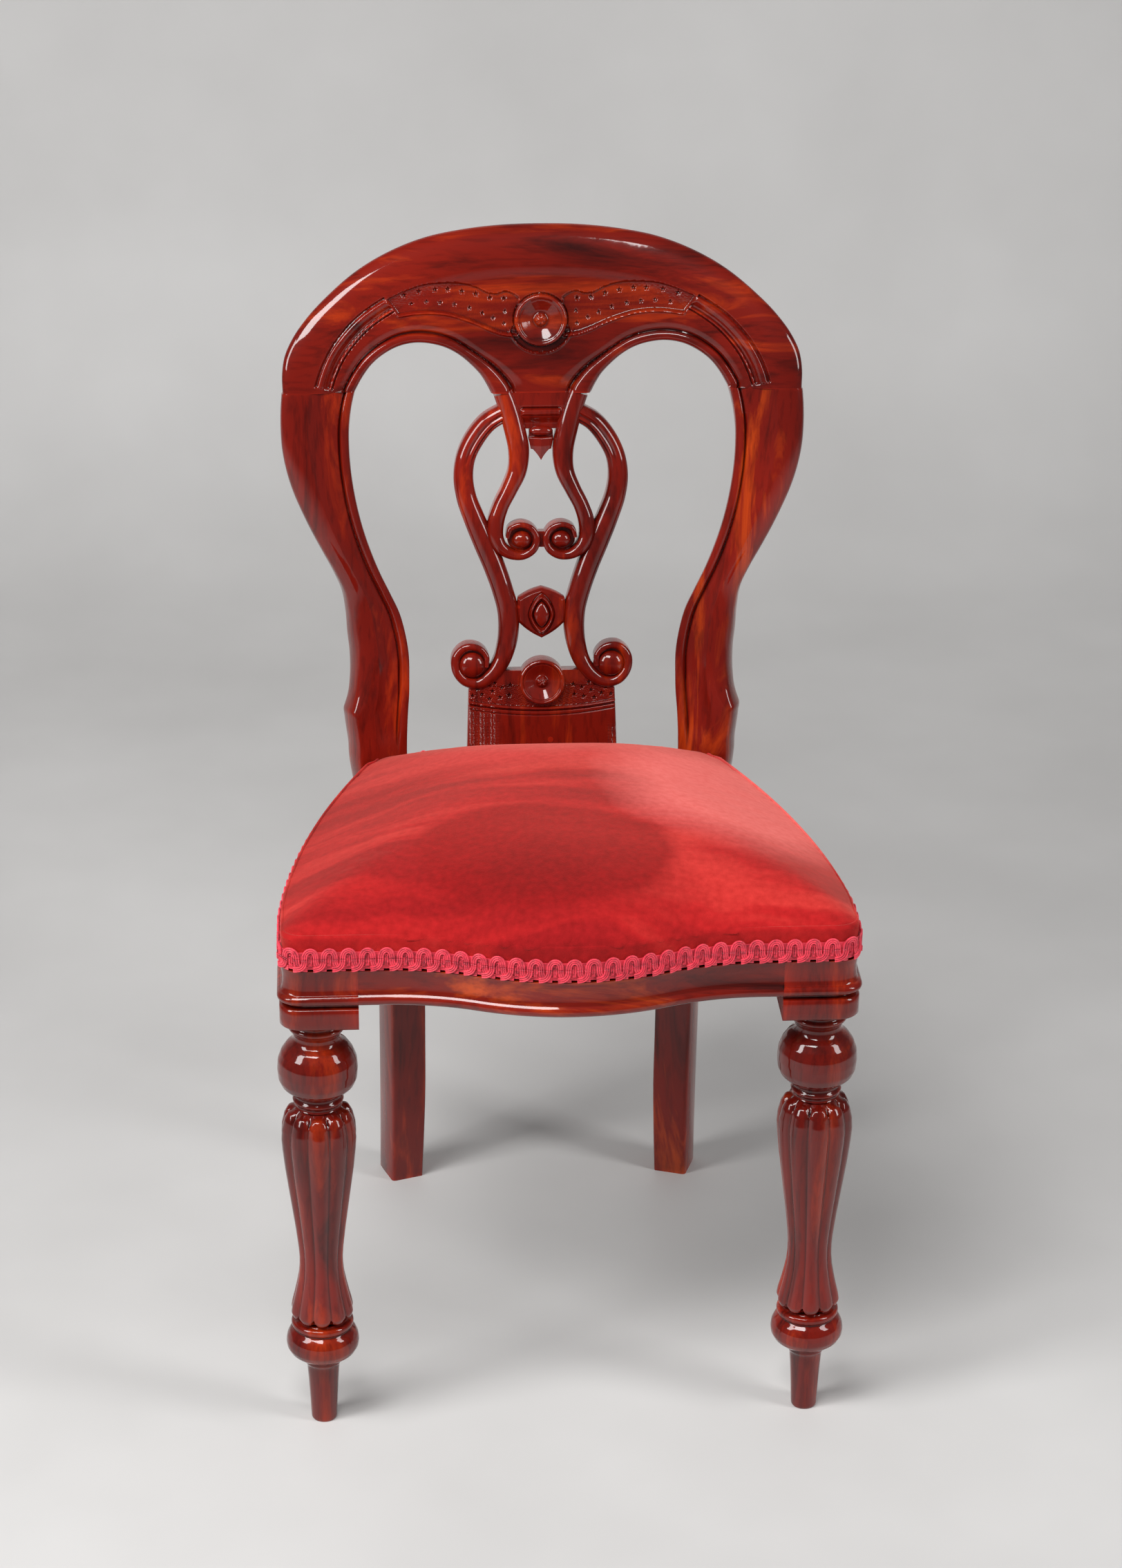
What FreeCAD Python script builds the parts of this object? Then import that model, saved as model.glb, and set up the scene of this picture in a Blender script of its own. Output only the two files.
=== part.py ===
import FreeCAD, Part
import Sketcher
import math
import os
from FreeCAD import Placement, Rotation, Vector

# A balloon back dining chair in polished mahogany with a stuffed velvet seat.
# Millimetres. X is the sitter's left, Y runs to the rear, Z is up.
# The origin lies on the floor under the middle of the whole chair.

DIMENSIONS = [
    # Front legs: the axis, the square block on top and the collar and bead that run round it
    ("leg_axis_x", 217.5),
    ("leg_axis_y", -227.0),
    ("block_in", 36.5),
    ("block_out", 31.5),
    ("block_front", 38.0),
    ("block_back", 28.0),
    ("block_corner", 18.0),
    ("block_bottom", 411.0),
    ("collar_top", 431.0),
    # The turned part of a front leg, from the floor up
    ("foot_radius", 11.5),
    ("foot_top_radius", 14.6),
    ("foot_height", 58.0),
    ("bun_radius", 32.5),
    ("bun_height", 83.0),
    ("bun_top", 96.5),
    ("vase_bottom", 105.0),
    ("vase_top", 320.0),
    ("vase_radius", 33.8),
    ("reeds", 10.0),
    ("reed_depth", 3.4),
    ("neck_radius", 20.0),
    ("ball_radius", 34.8),
    ("ball_height", 359.0),
    # Seat rails: heights on the front rail; behind it the seat falls towards the back
    ("rail_bottom", 434.5),
    ("bead_top", 444.0),
    ("ledge", 467.0),
    ("rail_top", 486.0),
    ("rail_thickness", 25.0),
    ("bow", 30.0),
    ("bow_half_width", 160.0),
    ("seat_fall_angle", 3.4),
    ("seat_fall_start", -199.0),
    ("face_inset", 1.0),
    ("ledge_inset", 5.5),
    ("bead_proud", 1.0),
    ("bead_round", 3.2),
    ("back_rail_front", 163.0),
    ("back_rail_thickness", 44.0),
    ("rail_depth", 51.0),
    ("side_bow", 7.0),
    ("side_rear_x", 176.0),
    ("side_rear_y", 158.0),
    ("block_brace_bottom", 438.0),
    ("brace_height", 30.0),
    # The back: it leans, and it is hollow in plan towards the sitter
    ("back_y", 185.0),
    ("back_z", 470.0),
    ("back_rake", 9.65),
    ("back_plan_radius", 610.0),
    ("crest_thickness", 29.0),
    ("roll", 8.0),
    ("post_turn", 19.5),
    ("post_joint", 352.0),
    ("splat_joint", 345.0),
    ("splat_thickness", 22.0),
    ("bead_width", 7.0),
    ("bead_height", 1.5),
    ("roundel_radius", 21.5),
    ("panel_sunk", 2.0),
    # Joinery
    ("dowel_radius", 5.0),
    ("dowel_length", 36.0),
    ("screw_radius", 2.5),
    ("screw_length", 45.0),
    ("screw_head_radius", 4.5),
    # Upholstery
    ("webbing_width", 50.0),
    ("webbing_thickness", 1.2),
    ("hessian_thickness", 0.8),
    ("cover_thickness", 1.6),
    ("cover_inset", 2.6),
    ("crown", 57.0),
    ("crown_middle_y", 226.0),
    ("seat_rear_y", 179.0),
    ("gimp_height", 22.0),
    ("gimp_thickness", 3.2),
    ("dust_cover_thickness", 0.6),
    # How far a sawn outline may stray from its smooth course
    ("saw_tolerance", 0.6),
]

doc = FreeCAD.newDocument("BalloonBackChair")
sheet = doc.addObject("Spreadsheet::Sheet", "Sizes")
for row, (alias, value) in enumerate(DIMENSIONS, start=1):
    sheet.set(f"A{row}", alias)
    sheet.set(f"B{row}", str(value))
    sheet.setAlias(f"B{row}", alias)
doc.recompute()


class Size:
    """A number of the sheet, or one worked out from it, with its formula beside it."""

    def __init__(self, value, formula):
        self.value = value
        self.formula = formula

    def __add__(self, other):
        other = as_size(other)
        return Size(self.value + other.value, f"({self.formula} + {other.formula})")

    def __sub__(self, other):
        other = as_size(other)
        return Size(self.value - other.value, f"({self.formula} - {other.formula})")

    def __mul__(self, factor):
        return Size(self.value * factor, f"({self.formula} * {factor})")

    __rmul__ = __mul__


def as_size(number):
    return number if isinstance(number, Size) else Size(float(number), str(float(number)))


def size(alias):
    return Size(float(sheet.get(alias)), f"Sizes.{alias}")


def mm(alias):
    return float(sheet.get(alias))


def bind(item, path, number):
    item.setExpression(path, as_size(number).formula)


# Parts that the chair is made of, by node name
PARTS = {}


def keep(item, label):
    """Name a finished piece and list it for export."""
    item.Label = label
    PARTS[label] = item
    return item


def new_body(name):
    return doc.addObject("PartDesign::Body", name)


def plane(body, role):
    return next(item for item in body.Origin.OriginFeatures if item.Role == role)


def new_sketch(body, name, role, height=0.0):
    """A sketch on one of the body's own planes, lifted off it by height."""
    sketch = body.newObject("Sketcher::SketchObject", name)
    sketch.AttachmentSupport = [(plane(body, role), "")]
    sketch.MapMode = "FlatFace"
    sketch.AttachmentOffset = Placement(Vector(0, 0, as_size(height).value), Rotation())
    if isinstance(height, Size):
        bind(sketch, "AttachmentOffset.Base.z", height)
    return sketch


def draw(sketch, start, steps):
    """Draw a closed outline. A step is an end point, or a point on the way and an end point for an arc."""
    vertices = [start] + [step[-1] for step in steps[:-1]]
    plain = [Vector(as_size(x).value, as_size(y).value, 0) for x, y in vertices]
    for number, step in enumerate(steps):
        begin = plain[number]
        end = plain[(number + 1) % len(plain)]
        if len(step) == 2:
            way = Vector(as_size(step[0][0]).value, as_size(step[0][1]).value, 0)
            sketch.addGeometry(Part.Arc(begin, way, end))
        else:
            sketch.addGeometry(Part.LineSegment(begin, end))
    ends = []
    for number in range(len(steps)):
        near = sketch.getPoint(number, 1).distanceToPoint(plain[number]) < 1e-6
        ends.append((1, 2) if near else (2, 1))
    for number, (x, y) in enumerate(vertices):
        before = (number - 1) % len(steps)
        sketch.addConstraint(
            Sketcher.Constraint("Coincident", before, ends[before][1], number, ends[number][0])
        )
        for axis, coordinate in (("DistanceX", x), ("DistanceY", y)):
            if not isinstance(coordinate, Size):
                continue
            rule = Sketcher.Constraint(axis, -1, 1, number, ends[number][0], coordinate.value)
            index = sketch.addConstraint(rule)
            sketch.renameConstraint(index, f"{axis}{number}")
            bind(sketch, f"Constraints.{axis}{number}", coordinate)
    return sketch


def pad(body, name, sketch, length, upward=True):
    feature = body.newObject("PartDesign::Pad", name)
    feature.Profile = sketch
    feature.Length = as_size(length).value
    bind(feature, "Length", length)
    feature.Reversed = not upward
    sketch.Visibility = False
    return feature


def bevel_edges(body, name, width, wanted):
    """Bevel the edges of the body whose middle point answers the test."""
    doc.recompute()
    tip = body.Tip
    chosen = []
    for number, edge in enumerate(tip.Shape.Edges, start=1):
        middle = edge.valueAt((edge.FirstParameter + edge.LastParameter) / 2)
        if edge.Length > 1 and wanted(middle, edge):
            chosen.append(f"Edge{number}")
    feature = body.newObject("PartDesign::Chamfer", name)
    feature.Base = (tip, chosen)
    feature.Size = as_size(width).value
    bind(feature, "Size", width)
    return feature


def solid_piece(name, shape):
    """A piece whose form is set by Part's own functions."""
    item = doc.addObject("Part::Feature", name)
    item.Shape = shape
    return item


def cylinder(name, radius, height, base, direction):
    item = doc.addObject("Part::Cylinder", name)
    bind(item, "Radius", radius)
    bind(item, "Height", height)
    item.Placement = Placement(base, Rotation(Vector(0, 0, 1), direction))
    return item


def group(name, items):
    item = doc.addObject("Part::Compound", name)
    item.Links = items
    return item


def stack(rings, halved=False):
    """A solid with flat faces between level rings of corners.

    The faces have four corners where each ring is a scaled copy of the one below it. Other rings need
    each of these faces halved into two with three corners.
    """
    faces = [Part.Face(Part.makePolygon(ring + ring[:1])) for ring in (rings[0], rings[-1])]
    for low, high in zip(rings, rings[1:]):
        for number, corner in enumerate(low):
            after = (number + 1) % len(low)
            if halved:
                faces.append(Part.Face(Part.makePolygon([corner, low[after], high[after], corner])))
                faces.append(Part.Face(Part.makePolygon([corner, high[after], high[number], corner])))
            else:
                outline = [corner, low[after], high[after], high[number], corner]
                faces.append(Part.Face(Part.makePolygon(outline)))
    shell = Part.Shell(faces)
    shell.sewShape()
    solid = Part.Solid(shell)
    if solid.Volume < 0:
        solid.reverse()
    return solid


def turned(centre, along, profile, sides):
    """A form turned about a line, cut to equal flats: its distances along the line and its radii."""
    along = Vector(*along)
    across = Vector(1, 0, 0)
    upward = along.cross(across)
    rings = []
    for distance, radius in profile:
        ring = []
        for number in range(sides):
            turn = 2 * math.pi * number / sides
            out = across * (radius * math.cos(turn)) + upward * (radius * math.sin(turn))
            ring.append(Vector(*centre) + along * distance + out)
        rings.append(ring)
    return stack(rings)


def cut(name, base, tools):
    """Take the tools away from the base, one after the other."""
    for number, tool in enumerate(tools, start=1):
        step = doc.addObject("Part::Cut", f"{name}_cut_{number}")
        step.Base = base
        step.Tool = tool
        base = step
    return base


# Turned and reeded front legs

VASE_STATIONS = [
    # Height along the vase, radius over the vase's largest radius
    (0.000, 0.770),
    (0.040, 0.845),
    (0.085, 0.800),
    (0.150, 0.690),
    (0.230, 0.605),
    (0.320, 0.592),
    (0.430, 0.665),
    (0.560, 0.790),
    (0.690, 0.905),
    (0.800, 0.980),
    (0.880, 0.990),
    (0.945, 0.915),
    (1.000, 0.720),
]


def vase_shape():
    """The reeded vase of a front leg: equal bulging reeds between sharp valleys."""
    count = int(mm("reeds"))
    step = 2 * math.pi / count
    low = mm("vase_bottom")
    length = mm("vase_top") - low
    sections = []
    for along, ratio in VASE_STATIONS:
        crest = mm("vase_radius") * ratio
        valley = crest - mm("reed_depth") * ratio
        sunk = mm("reed_depth") * ratio * 0.2
        height = low + length * along

        def point(turn, radius):
            return Vector(radius * math.cos(turn), radius * math.sin(turn), height)

        ring = []
        for number in range(count):
            angle = math.radians(8) + number * step
            ring += [point(angle, valley), point(angle + step * 0.2, crest - sunk)]
            ring += [point(angle + step * 0.5, crest), point(angle + step * 0.8, crest - sunk)]
        sections.append(ring)
    return stack(sections)


def block_outline(body, name, height, inset):
    """Plan of the leg block: square inside, rounded at the outer front corner."""
    sketch = new_sketch(body, name, "XY_Plane", height)
    inner = size("block_in") * -1.0
    outer = size("block_out") - inset
    front = (size("block_front") - inset) * -1.0
    back = size("block_back")
    corner = size("block_corner")
    turn = outer - corner
    turn_end = front + corner
    slack = mm("block_corner") * (1 - math.sqrt(0.5))
    way = (outer.value - slack, front.value + slack)
    draw(
        sketch,
        (inner, front),
        [[(turn, front)], [way, (outer, turn_end)], [(outer, back)], [(inner, back)], [(inner, front)]],
    )
    return sketch


def block_edge(point, heights, inset):
    """True on the outer front line of the leg block, at one of the heights."""
    level = any(abs(point.z - height) < 0.05 for height in heights)
    front = abs(point.y + mm("block_front") - inset) < 0.05 and point.x > 1 - mm("block_in")
    side = abs(point.x - mm("block_out") + inset) < 0.05 and point.y < mm("block_back") - 1
    corner = point.x > 16 and point.y < -24 and math.hypot(point.x - 13.5, point.y + 20) > 17.4 - inset
    return level and (front or side or corner)


def swelling(bottom, height, least, most, turns):
    """Heights and radii up the side of a ball or bun, by the turn from its foot."""
    places = []
    for turn in turns:
        swell = math.sin(math.radians(turn))
        rise = 1 - math.cos(math.radians(turn))
        places.append((bottom + height * rise, most * swell + least * (1 - swell)))
    return places


def foot_profile():
    """The peg foot, its ring, the bun and the collar under the reeds."""
    radius = mm("foot_radius")
    ring = mm("foot_height")
    bun = mm("bun_height")
    top = mm("bun_top")
    profile = [(0.0, radius - 1.2), (1.5, radius), (ring, mm("foot_top_radius"))]
    profile += [(ring + 2.0, 17.4), (ring + 4.0, 17.4), (ring + 6.0, 16.2)]
    profile += swelling(ring + 6.0, bun - ring - 6.0, 16.2, mm("bun_radius"), (30, 60, 90))
    profile += [((bun + top) / 2, mm("bun_radius") * 0.965), (top, 27.0)]
    return profile + [(top + 1.2, 25.4), (top + 3.4, 27.6), (mm("vase_bottom"), 26.6)]


def neck_profile():
    """The neck over the reeds, the ball and the cove that runs out under the block."""
    radius = mm("neck_radius")
    top = mm("vase_top")
    bottom = mm("block_bottom")
    profile = [(top, radius + 1.0), (top + 3.0, radius), (top + 5.5, 22.4), (top + 8.5, 22.4)]
    profile += [(top + 11.0, radius), (top + 15.0, 22.2)]
    profile += swelling(mm("ball_height") - 23.0, 24.5, 21.0, mm("ball_radius"), (28, 56, 90, 124, 152))
    profile += [(bottom - 24.0, 20.8), (bottom - 12.6, 25.0), (bottom - 9.6, 22.6), (bottom - 3.4, 27.6)]
    return profile + [(bottom + 1.0, 27.6)]


def front_leg():
    """One stick: peg foot, bun, reeded vase, ball and the square block that takes the rails."""
    up = (0, 0, 1)
    turning = turned((0, 0, 0), up, foot_profile(), 24).fuse([vase_shape(), turned((0, 0, 0), up, neck_profile(), 24)])
    turning = solid_piece("leg_turning", turning)
    body = new_body("leg_block_body")
    bottom = size("block_bottom")
    face = size("face_inset") + 1.5
    outline = block_outline(body, "block_core_plan", bottom, size("ledge_inset"))
    pad(body, "block_core", outline, size("rail_top") - bottom)
    outline = block_outline(body, "block_face_plan", bottom, face)
    pad(body, "block_face", outline, size("ledge") - bottom)
    outline = block_outline(body, "block_collar_plan", bottom, 0.0)
    pad(body, "block_collar", outline, size("collar_top") - bottom)
    collar_heights = (mm("block_bottom"), mm("collar_top"))
    bevel_edges(body, "block_collar_bevel", 1.6, lambda p, e: block_edge(p, collar_heights, 0.0))
    outline = block_outline(body, "block_bead_plan", size("rail_bottom"), size("bead_proud") * -1.0)
    pad(body, "block_bead", outline, size("bead_top") - size("rail_bottom"))
    heights = (mm("rail_bottom"), mm("bead_top"))
    bead = size("bead_round")
    bevel_edges(body, "block_bead_bevel", bead, lambda p, e: block_edge(p, heights, -mm("bead_proud")))
    doc.recompute()
    stick = doc.addObject("Part::MultiFuse", "leg_stick")
    stick.Shapes = [turning, body]
    stick.Placement = Placement(Vector(mm("leg_axis_x"), mm("leg_axis_y"), 0), Rotation())
    bind(stick, "Placement.Base.x", size("leg_axis_x"))
    bind(stick, "Placement.Base.y", size("leg_axis_y"))
    return stick


# Seat rails

def bow_at(x):
    """How far the front rail stands forward of its ends at x."""
    half = mm("bow_half_width")
    radius = (half / 2) ** 2 / mm("bow") + mm("bow") / 4
    x = abs(x)
    if x >= half:
        return 0.0
    if x >= half / 2:
        return radius - math.sqrt(radius ** 2 - (half - x) ** 2)
    return mm("bow") - radius + math.sqrt(radius ** 2 - x ** 2)


def front_rail_outline(body, name, height, inset, back):
    """Plan of the front rail: flat at both ends and bowed forward in the middle."""
    sketch = new_sketch(body, name, "XY_Plane", height)
    half = size("leg_axis_x") - size("block_in")
    face = size("leg_axis_y") - size("block_front") + inset
    apex = face - size("bow")
    width = mm("bow_half_width")
    middle = face - size("bow") * 0.5
    radius = (width / 2) ** 2 / mm("bow") + mm("bow") / 4
    lean = math.asin(width / 2 / radius) / 2
    near_x = width - radius * math.sin(lean)
    near_y = face.value - radius * (1 - math.cos(lean))
    far_x = radius * math.sin(lean)
    far_y = apex.value + radius * (1 - math.cos(lean))
    draw(
        sketch,
        (half * -1.0, face),
        [
            [(size("bow_half_width") * -1.0, face)],
            [(-near_x, near_y), (size("bow_half_width") * -0.5, middle)],
            [(-far_x, far_y), (0.0, apex)],
            [(far_x, far_y), (size("bow_half_width") * 0.5, middle)],
            [(near_x, near_y), (size("bow_half_width"), face)],
            [(half, face)],
            [(half, back)],
            [(half * -1.0, back)],
            [(half * -1.0, face)],
        ],
    )
    return sketch


def front_rail_body():
    body = new_body("front_rail_body")
    back = size("leg_axis_y") - size("block_front") + size("rail_thickness")
    bottom = size("rail_bottom")
    sketch = front_rail_outline(body, "front_rail_face_plan", bottom, size("face_inset"), back)
    pad(body, "front_rail_face", sketch, size("ledge") - bottom)
    sketch = front_rail_outline(body, "front_rail_core_plan", bottom, size("ledge_inset"), back)
    pad(body, "front_rail_core", sketch, size("rail_top") - bottom)
    proud = size("bead_proud") * -1.0
    sketch = front_rail_outline(body, "front_rail_bead_plan", bottom, proud, back)
    pad(body, "front_rail_bead", sketch, size("bead_top") - bottom)
    face = mm("leg_axis_y") - mm("block_front")

    def moulding_edge(point, edge, heights, inset):
        level = any(abs(point.z - height) < 0.05 for height in heights)
        along = edge.BoundBox.XLength > 5 and edge.BoundBox.ZLength < 0.1
        return level and along and abs(point.y - face - inset + bow_at(point.x)) < 0.3

    bead = size("bead_round") - 1.4
    heights = (mm("rail_bottom"), mm("bead_top"))
    proud = -mm("bead_proud")
    bevel_edges(body, "front_rail_bead_bevel", bead, lambda p, e: moulding_edge(p, e, heights, proud))
    ledge = (mm("ledge"),)
    inset = mm("face_inset")
    bevel_edges(body, "front_rail_arris", 1.6, lambda p, e: moulding_edge(p, e, ledge, inset))
    return body


SEAT = Placement(
    Vector(0, mm("seat_fall_start"), mm("rail_top")), Rotation(Vector(1, 0, 0), -mm("seat_fall_angle"))
)


def side_line(along, inset=0.0):
    """How far out the seat frame's side lies at a distance behind the leg blocks."""
    start = mm("leg_axis_x") + mm("block_out")
    reach = mm("side_rear_y") - mm("seat_fall_start")
    share = along / reach
    bulge = 4 * mm("side_bow") * share * (1 - share) if along > 0 else 0.0
    return start + (mm("side_rear_x") - start) * max(share, 0.0) + bulge - inset


def side_rail_layer(inset, bottom, top):
    """One step of the side rail's moulding: bowed outside, straight inside, falling to the back."""
    start_y = mm("seat_fall_start")
    reach = mm("side_rear_y") - start_y + 30.0
    thick = mm("rail_thickness")
    fall = math.tan(math.radians(mm("seat_fall_angle")))
    under = 300.0
    near = Vector(side_line(0, inset), start_y, under)
    middle = Vector(side_line(reach / 2, inset), start_y + reach / 2, under)
    far = Vector(side_line(reach, inset), start_y + reach, under)
    inner_far = Vector(side_line(reach, thick), start_y + reach, under)
    inner_near = Vector(side_line(0, thick), start_y, under)
    edges = [
        Part.Arc(near, middle, far).toShape(),
        Part.makeLine(far, inner_far),
        Part.makeLine(inner_far, inner_near),
        Part.makeLine(inner_near, near),
    ]
    upright = Part.Face(Part.Wire(edges)).extrude(Vector(0, 0, 300))
    corners = [(-5.0, bottom), (reach + 5, bottom), (reach + 5, top), (-5.0, top)]
    spots = [Vector(0, start_y + along, height - along * fall) for along, height in corners]
    slab = Part.Face(Part.makePolygon(spots + spots[:1])).extrude(Vector(500, 0, 0))
    return upright.common(slab)


def side_rail_shape():
    """A rail that falls towards the back with the seat, with a bead along its foot."""
    bottom = mm("rail_bottom")
    bead = side_rail_layer(-mm("bead_proud"), bottom, mm("bead_top"))
    bead = bead.makeChamfer(mm("bead_round") - 1.4, [edge for edge in bead.Edges if outer_run(edge)])
    face = side_rail_layer(mm("face_inset"), bottom, mm("ledge"))
    core = side_rail_layer(mm("ledge_inset"), bottom, mm("rail_top"))
    return bead.fuse([face, core]).removeSplitter()


def outer_run(edge):
    """True for the long bowed edges of the side rail's bead."""
    middle = edge.valueAt((edge.FirstParameter + edge.LastParameter) / 2)
    along = middle.y - mm("seat_fall_start")
    return edge.Length > 100 and abs(middle.x - side_line(along, -mm("bead_proud"))) < 1.5


def back_rail_body():
    """A plain board between the back posts, square to the falling seat."""
    body = new_body("back_rail_body")
    sketch = new_sketch(body, "back_rail_section", "YZ_Plane")
    thick = size("back_rail_thickness")
    depth = size("rail_depth")
    draw(sketch, (0.0, 0.0), [[(thick, 0.0)], [(thick, depth * -1.0)], [(0.0, depth * -1.0)], [(0.0, 0.0)]])
    board = pad(body, "back_rail_board", sketch, 300.0)
    board.SideType = "Symmetric"
    bevel_edges(
        body, "back_rail_arris", 3.0, lambda p, e: e.BoundBox.XLength > 100 and p.y > 40 and p.z < -1
    )
    body.Placement = SEAT.multiply(
        Placement(Vector(0, mm("back_rail_front") - mm("seat_fall_start"), -0.4), Rotation())
    )
    return body


# The back, in its own upright frame: X across, Y to the rear, Z up the rake

BACK = Placement(
    Vector(0, mm("back_y"), mm("back_z")), Rotation(Vector(1, 0, 0), -mm("back_rake"))
)

POST_STATIONS = [
    # Height up the rake, inner edge, outer edge, seen from the front
    (0.0, 128.5, 175.0),
    (25.0, 128.2, 177.0),
    (47.0, 127.0, 179.5),
    (62.0, 125.8, 174.8),
    (90.0, 125.6, 172.6),
    (120.0, 129.0, 175.0),
    (150.0, 138.2, 179.2),
    (180.0, 152.0, 190.5),
    (220.0, 166.5, 212.0),
    (260.0, 175.5, 229.8),
    (300.0, 179.3, 239.6),
    (330.0, 178.4, 241.8),
    (352.0, 173.5, 241.0),
]
LEG_STATIONS = [
    # Height above the floor, inner edge, outer edge, middle of the front face, depth
    (-12.0, 116.6, 147.2, 197.2, 38.0),
    (100.0, 113.0, 146.5, 188.0, 38.0),
    (220.0, 113.0, 147.0, 177.5, 38.0),
    (330.0, 117.0, 154.0, 168.0, 36.0),
    (410.0, 122.5, 164.5, 162.5, 34.0),
]
POST_DEPTHS = [(0.0, 32.0), (100.0, 30.0), (352.0, 29.0)]


def post_frame():
    """The post's own frame: across its face, square to its face, and up the rake."""
    return BACK.multiply(Placement(Vector(0, 0, 0), Rotation(Vector(0, 0, 1), -mm("post_turn"))))


def post_shape():
    """Rear leg and back post in one stick, sawn to a front outline and to a side outline."""
    turn = math.radians(mm("post_turn"))
    home = post_frame().inverse()
    touch = (POST_STATIONS[-1][1] + POST_STATIONS[-1][2]) / 2
    plane_y = math.sqrt(mm("back_plan_radius") ** 2 - touch ** 2) - mm("back_plan_radius")
    face = touch * math.sin(turn) + plane_y * math.cos(turn)
    inner = []
    outer = []
    front = []
    rear = []
    for height, near, far, middle, depth in LEG_STATIONS:
        swing = (far - near) / 2 * math.tan(turn)
        first = home.multVec(Vector(near, middle + swing, height))
        last = home.multVec(Vector(far, middle - swing, height))
        inner.append((first.x, first.z))
        outer.append((last.x, last.z))
        front.append(((first.y + last.y) / 2, (first.z + last.z) / 2))
        rear.append(((first.y + last.y) / 2 + depth, (first.z + last.z) / 2))
    for height, near, far in POST_STATIONS:
        inner.append(((near - face * math.sin(turn)) / math.cos(turn), height))
        outer.append(((far - face * math.sin(turn)) / math.cos(turn), height))
    for height, depth in POST_DEPTHS:
        front.append((face, height))
        rear.append((face + depth, height))
    ear = outer[: len(LEG_STATIONS) + 3]
    hoop = outer[len(LEG_STATIONS) + 2 :]
    edges = [spline(inner), line(inner[-1], outer[-1]), spline(hoop), spline(ear), line(outer[0], inner[0])]
    sawn = prism(edges, -150, 250)
    sides = [spline(front[:-2]), line(front[-3], front[-1]), line(front[-1], rear[-1])]
    sides += [line(rear[-1], rear[-2]), spline(rear[:-1]), line(rear[0], front[0])]
    slab = prism(sides, -400, 0)
    slab.rotate(Vector(0, 0, 0), Vector(0, 0, 1), 90)
    stick = sawn.common(slab).Solids[0]
    ear_height = outer[len(LEG_STATIONS) + 2][1]
    stick = stick.makeChamfer(mm("roll"), [edge for edge in stick.Edges if roll_edge(edge, face, ear_height)])
    lip = mm("bead_width")
    course = inner[len(LEG_STATIONS) :]
    clear = [(x - lip, z) for x, z in course]
    beside = [(x + lip, z) for x, z in course]
    edges = [spline(clear), line(clear[-1], beside[-1]), spline(beside), line(beside[0], clear[0])]
    bead = prism(edges, face - mm("bead_height"), face + 4).common(sawn).Solids[0]
    bead = bead.makeChamfer(1.2, [edge for edge in bead.Edges if front_long(edge, face - mm("bead_height"))])
    stick = stick.fuse(bead)
    stick.Placement = post_frame()
    floor = Part.makeBox(600, 600, 1200, Vector(0, 0, 0))
    return stick.common(floor).Solids[0]


def roll_edge(edge, face, low):
    """True for the outer edges of the post's face above the ear."""
    box = edge.BoundBox
    outward = edge.valueAt((edge.FirstParameter + edge.LastParameter) / 2)
    on_face = box.YLength < 0.01 and abs(box.YMin - face) < 0.01
    return on_face and box.ZLength > 1 and box.ZMin > low - 0.5 and outward.x > 150 + outward.z * 0.1


def front_long(edge, level):
    box = edge.BoundBox
    return box.YLength < 0.01 and abs(box.YMin - level) < 0.01 and abs(box.ZLength) > 0.5


def spline(points):
    """A smooth course through points given across and up the back, as tangent arcs."""
    curve = Part.BSplineCurve()
    curve.interpolate([Vector(x, 0, z) for x, z in points])
    return [piece.toShape() for piece in curve.toBiArcs(mm("saw_tolerance"))]


def line(first, last):
    return Part.makeLine(Vector(first[0], 0, first[1]), Vector(last[0], 0, last[1]))


def arc(first, way, last):
    spots = [Vector(x, 0, z) for x, z in (first, way, last)]
    return Part.Arc(*spots).toShape()


def mirror(points):
    return [(-x, z) for x, z in reversed(points)]


def prism(edges, front, back):
    """The outline pushed through from front to back."""
    pieces = []
    for edge in edges:
        pieces += edge if isinstance(edge, list) else [edge]
    face = Part.Face(Part.Wire(Part.sortEdges(pieces)[0]))
    face.translate(Vector(0, front, 0))
    return face.extrude(Vector(0, back - front, 0))


def curved_slab(front, back):
    """A tall slab hollow in plan: its front and back keep the back's plan radius."""
    radius = mm("back_plan_radius")
    centre = Vector(0, -radius, 250)
    outer = Part.makeCylinder(radius + back, 330, centre)
    return outer.cut(Part.makeCylinder(radius + front, 330, centre))


CREST_OUTER = [(241.0, 352.0), (240.2, 360.0), (230.5, 400.0), (196.0, 440.0), (135.5, 480.0), (76.0, 495.5),
               (0.0, 500.8)]
ARCH = [(46.5, 345.0), (56.0, 362.0), (75.0, 381.0), (95.0, 391.0), (117.0, 394.0), (138.0, 389.5),
        (159.0, 374.5), (173.5, 352.0)]
BANNER_TOP = [(20.0, 434.5), (31.0, 439.0), (45.0, 437.5), (60.0, 444.0), (85.0, 449.0), (143.0, 436.0)]
BANNER_FOOT = [(133.0, 421.5), (105.0, 423.0), (80.0, 419.5), (60.0, 412.5), (42.0, 405.5), (24.0, 400.5)]
FLUTES = [
    [(141.0, 431.0), (163.0, 419.0), (183.0, 400.0), (197.0, 378.0), (204.0, 360.0)],
    [(134.5, 424.0), (156.0, 411.0), (175.0, 393.0), (189.0, 371.0), (196.0, 356.0)],
]
MEDALLION = (0.0, 413.0)


def offset(points, distance):
    """The points moved sideways off the smooth curve through them."""
    curve = Part.BSplineCurve()
    spots = [Vector(x, 0, z) for x, z in points]
    curve.interpolate(spots)
    moved = []
    for spot in spots:
        along = curve.tangent(curve.parameter(spot))[0]
        moved.append((spot.x - along.z * distance, spot.z + along.x * distance))
    return moved


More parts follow.
